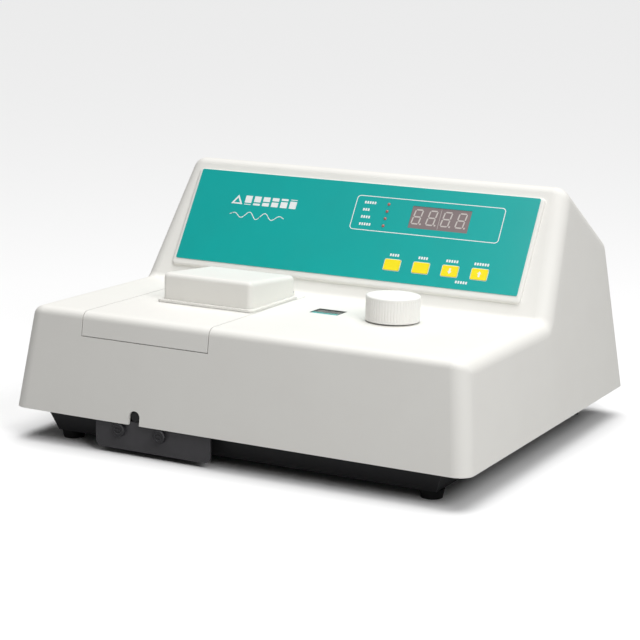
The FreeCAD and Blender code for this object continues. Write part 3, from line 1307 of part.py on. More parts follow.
def make_inlet(middle_level):
    """The mains inlet: a flanged housing with a socket for the lead."""
    face = rear_face
    half = s.inlet_width / 2
    high = s.inlet_height / 2
    lip = s.inlet_lip
    flange = block("inlet_flange", (s.inlet_across - half - lip, s.inlet_across + half + lip),
                   (face, face + s.sheet_metal), (middle_level - high - lip / 2,
                                                  middle_level + high + lip / 2))
    housing = block("inlet_housing", (s.inlet_across - half, s.inlet_across + half),
                    (face - s.inlet_depth, face), (middle_level - high, middle_level + high))
    mouth = block("inlet_mouth", (s.inlet_across - s.socket_width / 2,
                                  s.inlet_across + s.socket_width / 2),
                  (face - s.socket_deep, face + s.wall),
                  (middle_level - s.socket_opening / 2, middle_level + s.socket_opening / 2))
    pins = [block("inlet_pin_%d" % number, (s.inlet_across + offset - s.sheet_metal,
                                            s.inlet_across + offset + s.sheet_metal),
                  (face - s.socket_deep - s.sheet_metal, face - s.inlet_lip),
                  (middle_level - s.sheet_metal / 2, middle_level + s.sheet_metal / 2))
            for number, offset in enumerate((-s.socket_width / 3, as_size(0),
                                             s.socket_width / 3))]
    opened = cut("inlet_opened", fuse("inlet_solid", [flange, housing]), [mouth])
    node(fuse("power_inlet", [opened] + pins))


def make_power_switch(middle_level, frame_half, frame_high):
    """The mains switch: a frame clipped into the panel, and the rocker that tilts in it."""
    face = rear_face
    lip = s.frame_lip
    x = s.rocker_across
    flange = block("switch_flange", (x - frame_half - lip, x + frame_half + lip),
                   (face, face + s.sheet_metal), (middle_level - frame_high - lip / 2,
                                                  middle_level + frame_high + lip / 2))
    box = block("switch_box", (x - frame_half, x + frame_half), (face - s.frame_depth, face),
                (middle_level - frame_high, middle_level + frame_high))
    inner_half = s.rocker_width / 2 + s.rocker_gap
    inner_high = s.rocker_height / 2 + s.rocker_gap
    well = block("switch_well", (x - inner_half, x + inner_half),
                 (face - s.frame_depth + s.frame_wall, face + s.wall),
                 (middle_level - inner_high, middle_level + inner_high))
    axle_way = rod("switch_axle_way", s.hinge_pin_radius + s.running_gap,
                   (x - frame_half + s.frame_wall / 4, x + frame_half - s.frame_wall / 4),
                   face, middle_level, "x")
    node(cut("switch_frame", fuse("switch_solid", [flange, box]), [well, axle_way]))

    # The rocker is pressed at the bottom at rest, so its two faces meet over the axle.
    high = s.rocker_height / 2 - s.rocker_proud * tangent(s.rocker_tilt)
    proud = s.rocker_proud
    tilt = s.rocker_tilt
    fall = high * tangent(2 * tilt)
    corners = [(-proud, -high), (-proud, high), (proud, high), (proud + as_size(0), as_size(0)),
               (proud - fall, -high)]
    rocker = prism("rocker_paddle", "YZ_Plane", corners, s.rocker_width)
    put(rocker, x, face, middle_level)
    axle = rod("rocker_axle", s.hinge_pin_radius,
               (x - frame_half + s.frame_wall / 2, x + frame_half - s.frame_wall / 2),
               face, middle_level, "x")
    node(fuse("power_rocker", [rocker, axle]))


display_posts = make_control_panel()
knob_bush, gear_posts = make_wavelength_drive()
make_grating()
bench_posts = make_optics()
rod_bush, chamber_posts = make_sample_chamber()
make_cell_changer()
make_detector()
board_posts = make_electronics()
make_rear_panel()
node(group("shaft_bushes", [knob_bush, rod_bush]))
node(group("spacer_posts", display_posts + gear_posts + bench_posts + chamber_posts
           + board_posts))


def check_document():
    """Stop if any object failed to recompute or any sub-part isn't a sound solid."""
    for thing in doc.Objects:
        if "Invalid" in thing.State or "Error" in thing.State:
            raise RuntimeError("%s failed: %s" % (thing.Name, thing.State))
    for thing in nodes:
        if thing.Shape.isNull() or not thing.Shape.isValid() or not thing.Shape.Solids:
            raise RuntimeError("%s has no sound shape" % thing.Label)


doc.recompute()
check_document()
os.makedirs("parts", exist_ok=True)
for thing in nodes:
    thing.Shape.exportStep("parts/%s.step" % thing.Label)
print("%d sub-parts written" % len(nodes))
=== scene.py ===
import math

import bmesh
import bpy
from mathutils import Matrix, Vector


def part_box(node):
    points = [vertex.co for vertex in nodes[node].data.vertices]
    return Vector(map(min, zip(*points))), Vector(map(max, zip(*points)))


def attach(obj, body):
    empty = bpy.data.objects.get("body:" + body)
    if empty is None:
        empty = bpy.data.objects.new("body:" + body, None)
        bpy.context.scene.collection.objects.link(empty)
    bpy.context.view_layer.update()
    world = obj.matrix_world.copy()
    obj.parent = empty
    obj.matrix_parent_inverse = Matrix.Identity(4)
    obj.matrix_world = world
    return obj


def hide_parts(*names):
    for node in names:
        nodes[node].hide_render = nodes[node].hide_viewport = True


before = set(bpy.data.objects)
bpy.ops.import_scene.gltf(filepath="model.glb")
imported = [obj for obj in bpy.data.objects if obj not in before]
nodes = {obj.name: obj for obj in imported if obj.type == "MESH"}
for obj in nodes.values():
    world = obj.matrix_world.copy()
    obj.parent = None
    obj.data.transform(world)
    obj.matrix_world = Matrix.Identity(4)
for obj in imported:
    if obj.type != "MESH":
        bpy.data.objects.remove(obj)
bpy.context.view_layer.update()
scene = bpy.context.scene
mm = 0.001

cameraView = {"place": (0.78555, -1.57377, 0.45677), "azimuth": 26.958, "elevation": 11.354,
              "roll": 1.535, "lens": 104.23, "sensor": 36.0}


def makeCamera(view):
    azimuth, elevation, roll = (math.radians(view[k]) for k in ("azimuth", "elevation", "roll"))
    back = Vector((math.sin(azimuth) * math.cos(elevation),
                   -math.cos(azimuth) * math.cos(elevation), math.sin(elevation)))
    right = Vector((math.cos(azimuth), math.sin(azimuth), 0))
    up = back.cross(right)
    across = math.cos(roll) * right + math.sin(roll) * up
    upright = -math.sin(roll) * right + math.cos(roll) * up
    data = bpy.data.cameras.new("studioCamera")
    data.lens = view["lens"]
    data.sensor_width = view["sensor"]
    camera = bpy.data.objects.new("studioCamera", data)
    turn = Matrix((across, upright, back)).transposed()
    camera.matrix_world = Matrix.Translation(view["place"]) @ turn.to_4x4()
    scene.collection.objects.link(camera)
    scene.camera = camera


makeCamera(cameraView)

studio = {
    "floorTone": (0.95, 0.95, 0.95), "floorBounce": (0.42, 0.42, 0.42), "floorSize": 60.0,
    "floorRough": 0.9, "worldTone": (1.0, 1.0, 1.0), "worldLight": 0.1, "backdropLight": 1.0,
    "skyLight": {"from": (0.0, 0.12, 1.0), "spread": 50.0, "power": 2.6},
    "lamps": {
        "frontBox": {"place": (-0.3, -1.1, 1.84), "size": 0.5, "power": 2.6},
        "keyBox": {"place": (1.4, -0.95, 1.35), "size": 0.9, "power": 19.0},
    },
}


def makeStudio(look):
    world = bpy.data.worlds.new("studioWorld")
    world.use_nodes = True
    tree = world.node_tree
    backdrop = tree.nodes["Background"]
    backdrop.inputs["Color"].default_value = (*look["worldTone"], 1)
    seen = tree.nodes.new("ShaderNodeLightPath").outputs["Is Camera Ray"]
    strength = tree.nodes.new("ShaderNodeMapRange")  # bright backdrop, softer room light
    strength.inputs["To Min"].default_value = look["worldLight"]
    strength.inputs["To Max"].default_value = look["backdropLight"]
    tree.links.new(seen, strength.inputs["Value"])
    tree.links.new(strength.outputs["Result"], backdrop.inputs["Strength"])
    scene.world = world
    data = bpy.data.lights.new("skyLight", "SUN")
    data.energy = look["skyLight"]["power"]
    data.angle = math.radians(look["skyLight"]["spread"])
    thing = bpy.data.objects.new("skyLight", data)
    thing.rotation_euler = (-Vector(look["skyLight"]["from"])).to_track_quat("-Z", "Y").to_euler()
    scene.collection.objects.link(thing)
    for name, lamp in look["lamps"].items():
        data = bpy.data.lights.new(name, "AREA")
        data.size = lamp["size"]
        data.energy = lamp["power"]
        thing = bpy.data.objects.new(name, data)
        thing.location = lamp["place"]
        thing.rotation_euler = (-thing.location).to_track_quat("-Z", "Y").to_euler()
        scene.collection.objects.link(thing)
    half = look["floorSize"] / 2
    mesh = bpy.data.meshes.new("studioFloor")
    mesh.from_pydata([(-half, -half, 0), (half, -half, 0), (half, half, 0), (-half, half, 0)],
                     [], [(0, 1, 2, 3)])
    floor = bpy.data.objects.new("studioFloor", mesh)
    scene.collection.objects.link(floor)
    paint = bpy.data.materials.new("floorPaint")
    paint.use_nodes = True
    tree = paint.node_tree
    shader = tree.nodes["Principled BSDF"]
    shader.inputs["Roughness"].default_value = look["floorRough"]
    tone = tree.nodes.new("ShaderNodeMix")  # pale to look at, with a softer bounce
    tone.data_type = "RGBA"
    tone.inputs[6].default_value = (*look["floorBounce"], 1)
    tone.inputs[7].default_value = (*look["floorTone"], 1)
    seen = tree.nodes.new("ShaderNodeLightPath").outputs["Is Camera Ray"]
    tree.links.new(seen, tone.inputs[0])
    tree.links.new(tone.outputs[2], shader.inputs["Base Color"])
    mesh.materials.append(paint)


makeStudio(studio)
scene.view_settings.view_transform = "Standard"
print("studio: camera, floor, sky light and %d lamps" % len(studio["lamps"]))


# Shader effects shared by the materials. Sizes are in metres.
def newGroup(name, inputs, outputs):
    tree = bpy.data.node_groups.new(name, "ShaderNodeTree")
    for label, value in inputs.items():
        kind = "NodeSocketColor" if isinstance(value, tuple) else "NodeSocketFloat"
        socket = tree.interface.new_socket(label, in_out="INPUT", socket_type=kind)
        socket.default_value = value
    for label, kind in outputs.items():
        tree.interface.new_socket(label, in_out="OUTPUT", socket_type="NodeSocket" + kind)
    return tree, tree.nodes.new("NodeGroupInput").outputs, tree.nodes.new("NodeGroupOutput").inputs


def addNode(tree, kind, settings=None, **plugs):
    node = tree.nodes.new("ShaderNode" + kind)
    for key, value in (settings or {}).items():
        setattr(node, key, value)
    for key, value in plugs.items():
        number = key.removeprefix("in_")
        socket = node.inputs[int(number) if number.isdigit() else key.replace("_", " ")]
        if isinstance(value, bpy.types.NodeSocket):
            tree.links.new(value, socket)
        else:
            socket.default_value = value
    return node


def calc(tree, operation, first, second=0.0):
    settings = {"operation": operation}
    return addNode(tree, "Math", settings, in_0=first, in_1=second).outputs[0]


def makeMottle():
    tree, given, out = newGroup("mottle", {
        "First": (0.8, 0.8, 0.8, 1), "Second": (0.7, 0.7, 0.7, 1), "Size": 0.05, "Contrast": 0.5},
        {"Color": "Color", "Value": "Float"})
    place = addNode(tree, "TexCoord").outputs["Object"]
    scale = calc(tree, "DIVIDE", 1.0, given["Size"])
    cloud = addNode(tree, "TexNoise", Vector=place, Scale=scale, Detail=4.0, Roughness=0.6)
    spread = calc(tree, "MULTIPLY", calc(tree, "SUBTRACT", cloud.outputs["Fac"], 0.5),
                  calc(tree, "MULTIPLY", given["Contrast"], 4.0))
    value = addNode(tree, "Clamp", Value=calc(tree, "ADD", spread, 0.5)).outputs[0]
    mix = addNode(tree, "Mix", {"data_type": "RGBA"}, in_0=value, in_6=given["First"],
                  in_7=given["Second"])
    tree.links.new(mix.outputs[2], out["Color"])
    tree.links.new(value, out["Value"])
    return tree


def makeGrain():
    tree, given, out = newGroup("grain", {"Size": 0.0008, "Pits": 0.4},
                                {"Height": "Float", "Mask": "Float"})
    place = addNode(tree, "TexCoord").outputs["Object"]
    scale = calc(tree, "DIVIDE", 1.0, given["Size"])
    fine = addNode(tree, "TexNoise", Vector=place, Scale=scale, Detail=2.0, Roughness=0.55)
    cells = addNode(tree, "TexVoronoi", Vector=place, Scale=scale)
    pits = calc(tree, "MULTIPLY", cells.outputs["Distance"], given["Pits"])
    height = calc(tree, "ADD", fine.outputs["Fac"], pits)
    tree.links.new(height, out["Height"])
    tree.links.new(fine.outputs["Fac"], out["Mask"])
    return tree


def makeEdgeWear():
    tree, given, out = newGroup("edgeWear", {"Width": 0.0008, "Amount": 0.5, "Breakup": 0.01},
                                {"Mask": "Float"})
    soft = addNode(tree, "Bevel", {"samples": 4}, Radius=given["Width"])
    true = addNode(tree, "NewGeometry")
    facing = addNode(tree, "VectorMath", {"operation": "DOT_PRODUCT"}, in_0=soft.outputs[0],
                     in_1=true.outputs["Normal"]).outputs["Value"]
    edge = calc(tree, "MULTIPLY", calc(tree, "SUBTRACT", 1.0, facing), 6.0)
    place = addNode(tree, "TexCoord").outputs["Object"]
    scale = calc(tree, "DIVIDE", 1.0, given["Breakup"])
    patch = addNode(tree, "TexNoise", Vector=place, Scale=scale, Detail=5.0)
    worn = calc(tree, "MULTIPLY", calc(tree, "MULTIPLY", edge, patch.outputs["Fac"]),
                given["Amount"])
    tree.links.new(addNode(tree, "Clamp", Value=worn).outputs[0], out["Mask"])
    return tree


def makeDust():
    tree, given, out = newGroup("dust", {"Amount": 0.2, "Size": 0.02}, {"Mask": "Float"})
    normal = addNode(tree, "NewGeometry").outputs["Normal"]
    up = addNode(tree, "SeparateXYZ", Vector=normal).outputs["Z"]
    place = addNode(tree, "TexCoord").outputs["Object"]
    scale = calc(tree, "DIVIDE", 1.0, given["Size"])
    cloud = addNode(tree, "TexNoise", Vector=place, Scale=scale, Detail=6.0)
    lying = addNode(tree, "Clamp", Value=up).outputs[0]
    mask = calc(tree, "MULTIPLY", calc(tree, "MULTIPLY", lying, cloud.outputs["Fac"]),
                given["Amount"])
    tree.links.new(mask, out["Mask"])
    return tree


def makeStreaks():
    tree, given, out = newGroup("streaks", {"Along X": 1.0, "Along Y": 1.0, "Along Z": 1.0,
                                            "Size": 0.0006}, {"Height": "Float"})
    place = addNode(tree, "TexCoord").outputs["Object"]
    stretch = addNode(tree, "CombineXYZ", X=given["Along X"], Y=given["Along Y"],
                      Z=given["Along Z"]).outputs[0]
    drawn = addNode(tree, "VectorMath", {"operation": "MULTIPLY"}, in_0=place,
                    in_1=stretch).outputs[0]
    scale = calc(tree, "DIVIDE", 1.0, given["Size"])
    lines = addNode(tree, "TexNoise", Vector=drawn, Scale=scale, Detail=3.0)
    tree.links.new(lines.outputs["Fac"], out["Height"])
    return tree


def makeBands():
    tree, given, out = newGroup("bands", {"Pitch": 0.001, "Tilt": 0.0}, {"Height": "Float"})
    place = addNode(tree, "TexCoord").outputs["Object"]
    parts = addNode(tree, "SeparateXYZ", Vector=place).outputs
    leaning = calc(tree, "ADD", calc(tree, "MULTIPLY", parts["X"], given["Tilt"]),
                   calc(tree, "MULTIPLY", parts["Z"], calc(tree, "SUBTRACT", 1.0, given["Tilt"])))
    turns = calc(tree, "DIVIDE", leaning, given["Pitch"])
    wave = calc(tree, "SINE", calc(tree, "MULTIPLY", turns, 2 * math.pi))
    height = calc(tree, "ADD", calc(tree, "MULTIPLY", wave, 0.5), 0.5)
    tree.links.new(height, out["Height"])
    return tree


effects = {"mottle": makeMottle(), "grain": makeGrain(), "edgeWear": makeEdgeWear(),
           "dust": makeDust(), "streaks": makeStreaks(), "bands": makeBands()}
print("shader effects: %d groups" % len(effects))


def linear(tone):
    return tuple(((c / 255 + 0.055) / 1.055) ** 2.4 if c > 10 else c / 255 / 12.92 for c in tone)


def effect(tree, name, **values):
    node = tree.nodes.new("ShaderNodeGroup")
    node.node_tree = effects[name]
    for label, value in values.items():
        node.inputs[label.replace("_", " ")].default_value = value
    return node.outputs


def mixTones(tree, mask, under, over):
    over = (*over, 1) if isinstance(over, tuple) else over
    return addNode(tree, "Mix", {"data_type": "RGBA"}, in_0=mask, in_6=under,
                   in_7=over).outputs[2]


finishBase = {
    "tones": ((200, 200, 200), (190, 190, 190)), "patch": 0.06, "contrast": 0.4, "metal": 0.0,
    "rough": (0.45, 0.55), "grain": (0.0008, 0.4), "bump": 0.06, "depth": 0.0002, "coat": 0.0,
    "wear": None, "dust": 0.0, "streaks": None, "bands": None, "clear": 0.0, "bend": 1.46,
}
steel = {"tones": ((176, 177, 178), (160, 162, 165)), "metal": 1.0, "rough": (0.28, 0.42),
         "streaks": (1.0, 30.0, 30.0, 0.0012), "bump": 0.08,
         "wear": (0.0006, 0.4, 0.01, (215, 216, 217))}
blackPaint = {"tones": ((30, 30, 32), (22, 22, 24)), "rough": (0.5, 0.68), "bump": 0.25,
              "grain": (0.0007, 0.8), "wear": (0.0006, 0.35, 0.012, (74, 74, 76)),
              "dust": 0.10}
finishes = {
    "shellPlastic": {"tones": ((240, 239, 234), (235, 233, 228)), "patch": 0.09,
                     "contrast": 0.35, "rough": (0.52, 0.62), "grain": (0.0009, 0.7),
                     "bump": 0.10, "depth": 0.00012, "bend": 1.38,
                     "wear": (0.0015, 0.25, 0.02, (250, 250, 248)), "dust": 0.03},
    "knobPlastic": {"tones": ((247, 246, 243), (242, 241, 237)), "rough": (0.5, 0.6),
                    "bump": 0.06, "bend": 1.38, "wear": (0.0006, 0.3, 0.008, (252, 252, 250))},
    "basePaint": {"tones": ((38, 38, 41), (28, 28, 30)), "rough": (0.42, 0.6), "bump": 0.3,
                  "grain": (0.0009, 0.9), "wear": (0.001, 0.4, 0.015, (88, 88, 92)),
                  "dust": 0.12},
    "platePaint": {"tones": ((78, 77, 80), (68, 67, 70)), "rough": (0.4, 0.55), "bump": 0.25,
                   "grain": (0.0008, 0.8), "wear": (0.0008, 0.5, 0.01, (120, 120, 124)),
                   "dust": 0.1},
    "tealFilm": {"tones": ((0, 175, 170), (0, 167, 162)), "patch": 0.05, "contrast": 0.3,
                 "rough": (0.3, 0.4), "grain": (0.00045, 0.6), "bump": 0.06, "coat": 0.15,
                 "wear": (0.0005, 0.2, 0.01, (120, 200, 196)), "dust": 0.02},
    "keyYellow": {"tones": ((255, 238, 30), (255, 232, 24)), "patch": 0.01, "rough": (0.36, 0.44),
                  "bump": 0.06, "grain": (0.0004, 0.5)},
    "whiteInk": {"tones": ((246, 248, 247), (238, 241, 240)), "patch": 0.006,
                 "rough": (0.45, 0.55), "grain": (0.0003, 0.5)},
    "segmentInk": {"tones": ((206, 200, 196), (198, 192, 188)), "patch": 0.006,
                   "rough": (0.4, 0.5)},
    "smokedPane": {"tones": ((146, 133, 133), (138, 125, 126)), "patch": 0.02,
                   "contrast": 0.2, "rough": (0.06, 0.1), "bump": 0.01, "coat": 0.5},
    "ledLens": {"tones": ((190, 116, 110), (174, 102, 97)), "patch": 0.002,
                "rough": (0.15, 0.2), "bump": 0.01, "coat": 0.6},
    "clearWindow": {"tones": ((236, 226, 226), (230, 220, 220)), "rough": (0.1, 0.16),
                    "bump": 0.005, "clear": 1.0, "bend": 1.49},
    "blackPlastic": {"tones": ((27, 27, 29), (21, 21, 23)), "rough": (0.38, 0.5), "bump": 0.12,
                     "wear": (0.0006, 0.4, 0.01, (80, 80, 84)), "dust": 0.05},
    "thumbPlastic": {"tones": ((44, 43, 46), (36, 35, 38)), "rough": (0.36, 0.48), "bump": 0.1,
                     "wear": (0.0008, 0.5, 0.008, (110, 110, 114))},
    "footRubber": {"tones": ((24, 24, 25), (17, 17, 18)), "rough": (0.72, 0.85), "bump": 0.25,
                   "grain": (0.0006, 0.8), "dust": 0.15},
    "foamSeal": {"tones": ((26, 26, 27), (18, 18, 19)), "rough": (0.85, 0.95), "bump": 0.6,
                 "grain": (0.0011, 1.0), "depth": 0.0006},
    "plainSteel": steel,
    "zincSteel": {**steel, "tones": ((196, 194, 182), (176, 178, 172)), "patch": 0.02,
                  "contrast": 0.6},
    "rearSteel": {**steel, "tones": ((188, 189, 190), (178, 179, 181)),
                  "streaks": (40.0, 40.0, 1.0, 0.0015), "rough": (0.36, 0.48)},
    "ironLaminate": {**steel, "tones": ((120, 118, 116), (96, 94, 92)), "rough": (0.4, 0.6),
                     "bands": (0.0007, 0.0), "bump": 0.5, "depth": 0.0002},
    "gearBrass": {"tones": ((214, 178, 98), (196, 158, 82)), "metal": 1.0, "rough": (0.24, 0.38),
                  "streaks": (30.0, 30.0, 1.0, 0.001), "bump": 0.08,
                  "wear": (0.0003, 0.5, 0.006, (238, 212, 150))},
    "castAlloy": {"tones": ((190, 191, 193), (172, 174, 177)), "metal": 1.0,
                  "rough": (0.3, 0.45), "bump": 0.2, "grain": (0.0012, 0.7),
                  "wear": (0.0006, 0.4, 0.01, (222, 223, 225))},
    "chamberBlack": blackPaint,
    "dialPrint": {"tones": ((166, 146, 146), (156, 137, 137)), "patch": 0.01,
                  "rough": (0.4, 0.5), "bump": 0.04},
    "dialInk": {"tones": ((40, 38, 40), (30, 28, 30)), "patch": 0.004, "rough": (0.5, 0.6)},
    "cellGlass": {"tones": ((250, 253, 252), (244, 250, 248)), "rough": (0.01, 0.03),
                  "bump": 0.004, "clear": 1.0, "bend": 1.46},
    "mirrorFace": {"tones": ((236, 238, 240), (228, 230, 233)), "metal": 1.0,
                   "rough": (0.02, 0.06), "bump": 0.0},
    # painted sheen: the blue and violet mottle of the grating's metal tint stands in for its
    # diffraction colours
    "gratingFace": {"tones": ((206, 214, 232), (214, 196, 226)), "patch": 0.012,
                    "contrast": 1.2, "metal": 1.0, "rough": (0.08, 0.2),
                    "bands": (0.0004, 1.0), "bump": 0.3, "depth": 0.00005},
    "lampCeramic": {"tones": ((236, 230, 214), (224, 216, 198)), "patch": 0.008,
                    "rough": (0.6, 0.75), "bump": 0.2,
                    "wear": (0.0006, 0.3, 0.008, (250, 246, 236))},
    "boardGreen": {"tones": ((22, 92, 48), (16, 74, 40)), "patch": 0.006, "contrast": 1.6,
                   "rough": (0.3, 0.45), "bump": 0.3, "grain": (0.0025, 1.0), "coat": 0.3},
    "boardParts": {"tones": ((34, 34, 37), (26, 26, 29)), "rough": (0.45, 0.6), "bump": 0.12,
                   "wear": (0.0005, 0.3, 0.01, (90, 90, 94))},
    "sensorFace": {"tones": ((30, 34, 58), (24, 26, 46)), "patch": 0.003, "rough": (0.1, 0.2),
                   "coat": 0.6},
    "copperWire": {"tones": ((188, 104, 58), (150, 78, 40)), "patch": 0.01, "metal": 0.85,
                   "rough": (0.28, 0.42), "bands": (0.0012, 0.0), "bump": 0.9,
                   "depth": 0.0004},
    "labelStock": {"tones": ((214, 216, 218), (206, 208, 210)), "metal": 0.6,
                   "rough": (0.35, 0.45), "bump": 0.05},
}


# the band entries paint shade into the grooves of banded finishes
finishBlend = {"mottleShare": 0.6, "grainShare": 0.4, "bandGrain": 0.3, "bandShade": 0.5,
               "bandShadeTone": 0.45, "dustTone": (186, 182, 174), "coatRough": 0.12}


def makeFinish(name, look):
    look = {**finishBase, **finishBlend, **look}
    material = bpy.data.materials.new(name)
    material.use_nodes = True
    tree = material.node_tree
    shader = tree.nodes["Principled BSDF"]
    plugs = shader.inputs
    first, second = ((*linear(tone), 1) for tone in look["tones"])
    mottle = effect(tree, "mottle", First=first, Second=second, Size=look["patch"],
                    Contrast=look["contrast"])
    grain = effect(tree, "grain", Size=look["grain"][0], Pits=look["grain"][1])
    tone = mottle["Color"]
    height = grain["Height"]
    if look["wear"]:
        width, amount, breakup, worn = look["wear"]
        mask = effect(tree, "edgeWear", Width=width, Amount=amount, Breakup=breakup)["Mask"]
        tone = mixTones(tree, mask, tone, linear(worn))
    if look["dust"]:
        mask = effect(tree, "dust", Amount=look["dust"])["Mask"]
        tone = mixTones(tree, mask, tone, linear(look["dustTone"]))
    if look["streaks"]:
        alongX, alongY, alongZ, size = look["streaks"]
        height = effect(tree, "streaks", Along_X=alongX, Along_Y=alongY, Along_Z=alongZ,
                        Size=size)["Height"]
    if look["bands"]:
        pitch, tilt = look["bands"]
        bands = effect(tree, "bands", Pitch=pitch, Tilt=tilt)["Height"]
        height = calc(tree, "ADD", calc(tree, "MULTIPLY", height, look["bandGrain"]), bands)
        # painted shade: the tone darkens toward the band valleys, where shade falls in the grooves
        # between wire turns, lamination sheets and grating lines
        grooveShadeTone = tuple(c * look["bandShadeTone"] for c in linear(look["tones"][1]))
        grooveShadeMask = calc(tree, "SUBTRACT", 1.0, bands)
        tone = mixTones(tree, calc(tree, "MULTIPLY", grooveShadeMask, look["bandShade"]), tone, grooveShadeTone)
    tree.links.new(tone, plugs["Base Color"])
    low, high = look["rough"]
    blend = calc(tree, "ADD", calc(tree, "MULTIPLY", mottle["Value"], look["mottleShare"]),
                 calc(tree, "MULTIPLY", grain["Mask"], look["grainShare"]))
    rough = addNode(tree, "MapRange", Value=blend, To_Min=low, To_Max=high)
    tree.links.new(rough.outputs["Result"], plugs["Roughness"])
    plugs["Metallic"].default_value = look["metal"]
    plugs["Coat Weight"].default_value = look["coat"]
    plugs["Coat Roughness"].default_value = look["coatRough"]
    plugs["IOR"].default_value = look["bend"]
    plugs["Transmission Weight"].default_value = look["clear"]
    if look["bump"]:
        bump = addNode(tree, "Bump", Strength=look["bump"], Distance=look["depth"],
                       Height=height)
        tree.links.new(bump.outputs["Normal"], plugs["Normal"])
    material.diffuse_color = first
    return material


materials = {name: makeFinish(name, look) for name, look in finishes.items()}
print("finishes: %d materials" % len(materials))

nodeFinishes = {
    "shellPlastic": ["top_shell", "access_cover", "sample_lid"],
    "knobPlastic": ["wavelength_knob"], "basePaint": ["base_pan"],
    "platePaint": ["front_plate"], "tealFilm": ["panel_overlay"],
    "keyYellow": ["panel_key_%d" % number for number in range(1, 5)],
    "smokedPane": ["display_window"], "boardParts": ["digit_display", "board_components"],
    "ledLens": ["indicator_leds"], "clearWindow": ["dial_window"],
    "blackPlastic": ["rod_grip", "power_rocker", "switch_frame", "power_inlet", "fuse_holder",
                     "key_switches"],
    "thumbPlastic": ["plate_screws"],
    "footRubber": ["rubber_feet"], "foamSeal": ["lid_seal"],
    "plainSteel": ["knob_shaft", "dial_shaft", "hinge_pin", "changer_rod", "spacer_posts"],
    "zincSteel": ["casing_screws", "gear_plate", "serial_port"],
    "rearSteel": ["rear_panel"], "ironLaminate": ["transformer_core"],
    "gearBrass": ["drive_pinion", "dial_wheel", "shaft_bushes"],
    "castAlloy": ["wavelength_cam", "optical_bench", "grating_table", "grating_lever"],
    "chamberBlack": ["sample_chamber", "monochromator_cover", "detector_housing", "lamp_house",
                     "cell_rack", "slit_plates", "optic_mounts"],
    "dialPrint": ["wavelength_dial"],
    "cellGlass": ["sample_cells", "condenser_lens", "halogen_lamp"],
    "mirrorFace": ["collimating_mirror"], "gratingFace": ["diffraction_grating"],
    "lampCeramic": ["lamp_socket"], "boardGreen": ["main_board", "display_board"],
    "sensorFace": ["photodiode"], "copperWire": ["transformer_coil"],
}
for finish, names in nodeFinishes.items():
    for name in names:
        mesh = nodes[name].data
        mesh.materials.clear()
        mesh.materials.append(materials[finish])
print("CAD nodes finished: %d" % sum(len(names) for names in nodeFinishes.values()))


# Mesh building. Sizes in the looks from here on are in millimetres. A place function turns
# three sizes in metres into a point; the digits' own takes the first two in millimetres.
def makePiece(name, shape, finish, body, sharp=35, bevel=0.0):
    bmesh.ops.remove_doubles(shape, verts=shape.verts, dist=1e-7)
    bmesh.ops.recalc_face_normals(shape, faces=shape.faces)
    mesh = bpy.data.meshes.new(name)
    shape.to_mesh(mesh)
    shape.free()
    mesh.shade_smooth()
    mesh.set_sharp_from_angle(angle=math.radians(sharp))
    mesh.materials.append(materials[finish])
    piece = bpy.data.objects.new(name, mesh)
    scene.collection.objects.link(piece)
    if bevel:
        soft = piece.modifiers.new("softEdges", "BEVEL")
        soft.width = bevel
        soft.segments = 2
        soft.limit_method = "ANGLE"
    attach(piece, body)
    return piece


def addPlate(shape, outline, place, low, high):
    under = [shape.verts.new(place(u, v, low)) for u, v in outline]
    over = [shape.verts.new(place(u, v, high)) for u, v in outline]
    shape.faces.new(under[::-1])
    shape.faces.new(over)
    for number in range(len(outline)):
        after = (number + 1) % len(outline)
        shape.faces.new((under[number], under[after], over[after], over[number]))


def joinRows(shape, rows):
    for row, after in zip(rows, rows[1:]):
        for number in range(len(row)):
            beside = (number + 1) % len(row)
            shape.faces.new((row[number], row[beside], after[beside], after[number]))


def addRing(shape, outer, inner, place, low, high):
    rows = [[shape.verts.new(place(u, v, w)) for u, v in line]
            for line, w in ((outer, low), (outer, high), (inner, high), (inner, low))]
    joinRows(shape, rows + rows[:1])


def roundedBox(left, right, low, high, radius, steps=6):
    corners = ((right - radius, low + radius, -90), (right - radius, high - radius, 0),
               (left + radius, high - radius, 90), (left + radius, low + radius, 180))
    points = []
    for u, v, start in corners:
        for step in range(steps + 1):
            turn = math.radians(start + 90 * step / steps)
            points.append((u + radius * math.cos(turn), v + radius * math.sin(turn)))
    return points


def addLathe(shape, profile, place, steps=32):
    rows = []
    for radius, height in profile:
        if radius < 1e-9:
            rows.append([shape.verts.new(place(0, 0, height))] * steps)
            continue
        rows.append([shape.verts.new(place(radius * math.cos(2 * math.pi * step / steps),
                                           radius * math.sin(2 * math.pi * step / steps),
                                           height)) for step in range(steps)])
    for low, high in zip(rows, rows[1:]):
        for step in range(steps):
            after = (step + 1) % steps
            corners = [low[step], low[after], high[after], high[step]]
            corners = [c for n, c in enumerate(corners) if c not in corners[:n]]
            if len(corners) > 2:
                shape.faces.new(corners)


def boxOf(node):
    low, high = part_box(node)
    return low, high, (low + high) / 2


def asPoint(u, v, w):
    return Vector((u, v, w))


def rectangle(left, right, low, high):
    return [(left, low), (right, low), (right, high), (left, high)]


def circle(radius, steps):
    turns = [2 * math.pi * step / steps for step in range(steps)]
    return [(radius * math.cos(turn), radius * math.sin(turn)) for turn in turns]


def panelFrame():
    mesh = nodes["panel_overlay"].data
    facing = [f for f in mesh.polygons if f.normal.y < -0.5 and f.normal.z > 0.3]
    out = max(facing, key=lambda f: f.area).normal.normalized()
    up = Vector((0, out.z, -out.y))
    points = [v.co for v in mesh.vertices]
    origin = up * min(up.dot(p) for p in points) + out * max(out.dot(p) for p in points)
    return origin, up, out


panelOrigin, panelUp, panelOut = panelFrame()


def onPanel(x, up, out):
    return panelOrigin + Vector((x, 0, 0)) + panelUp * up + panelOut * out


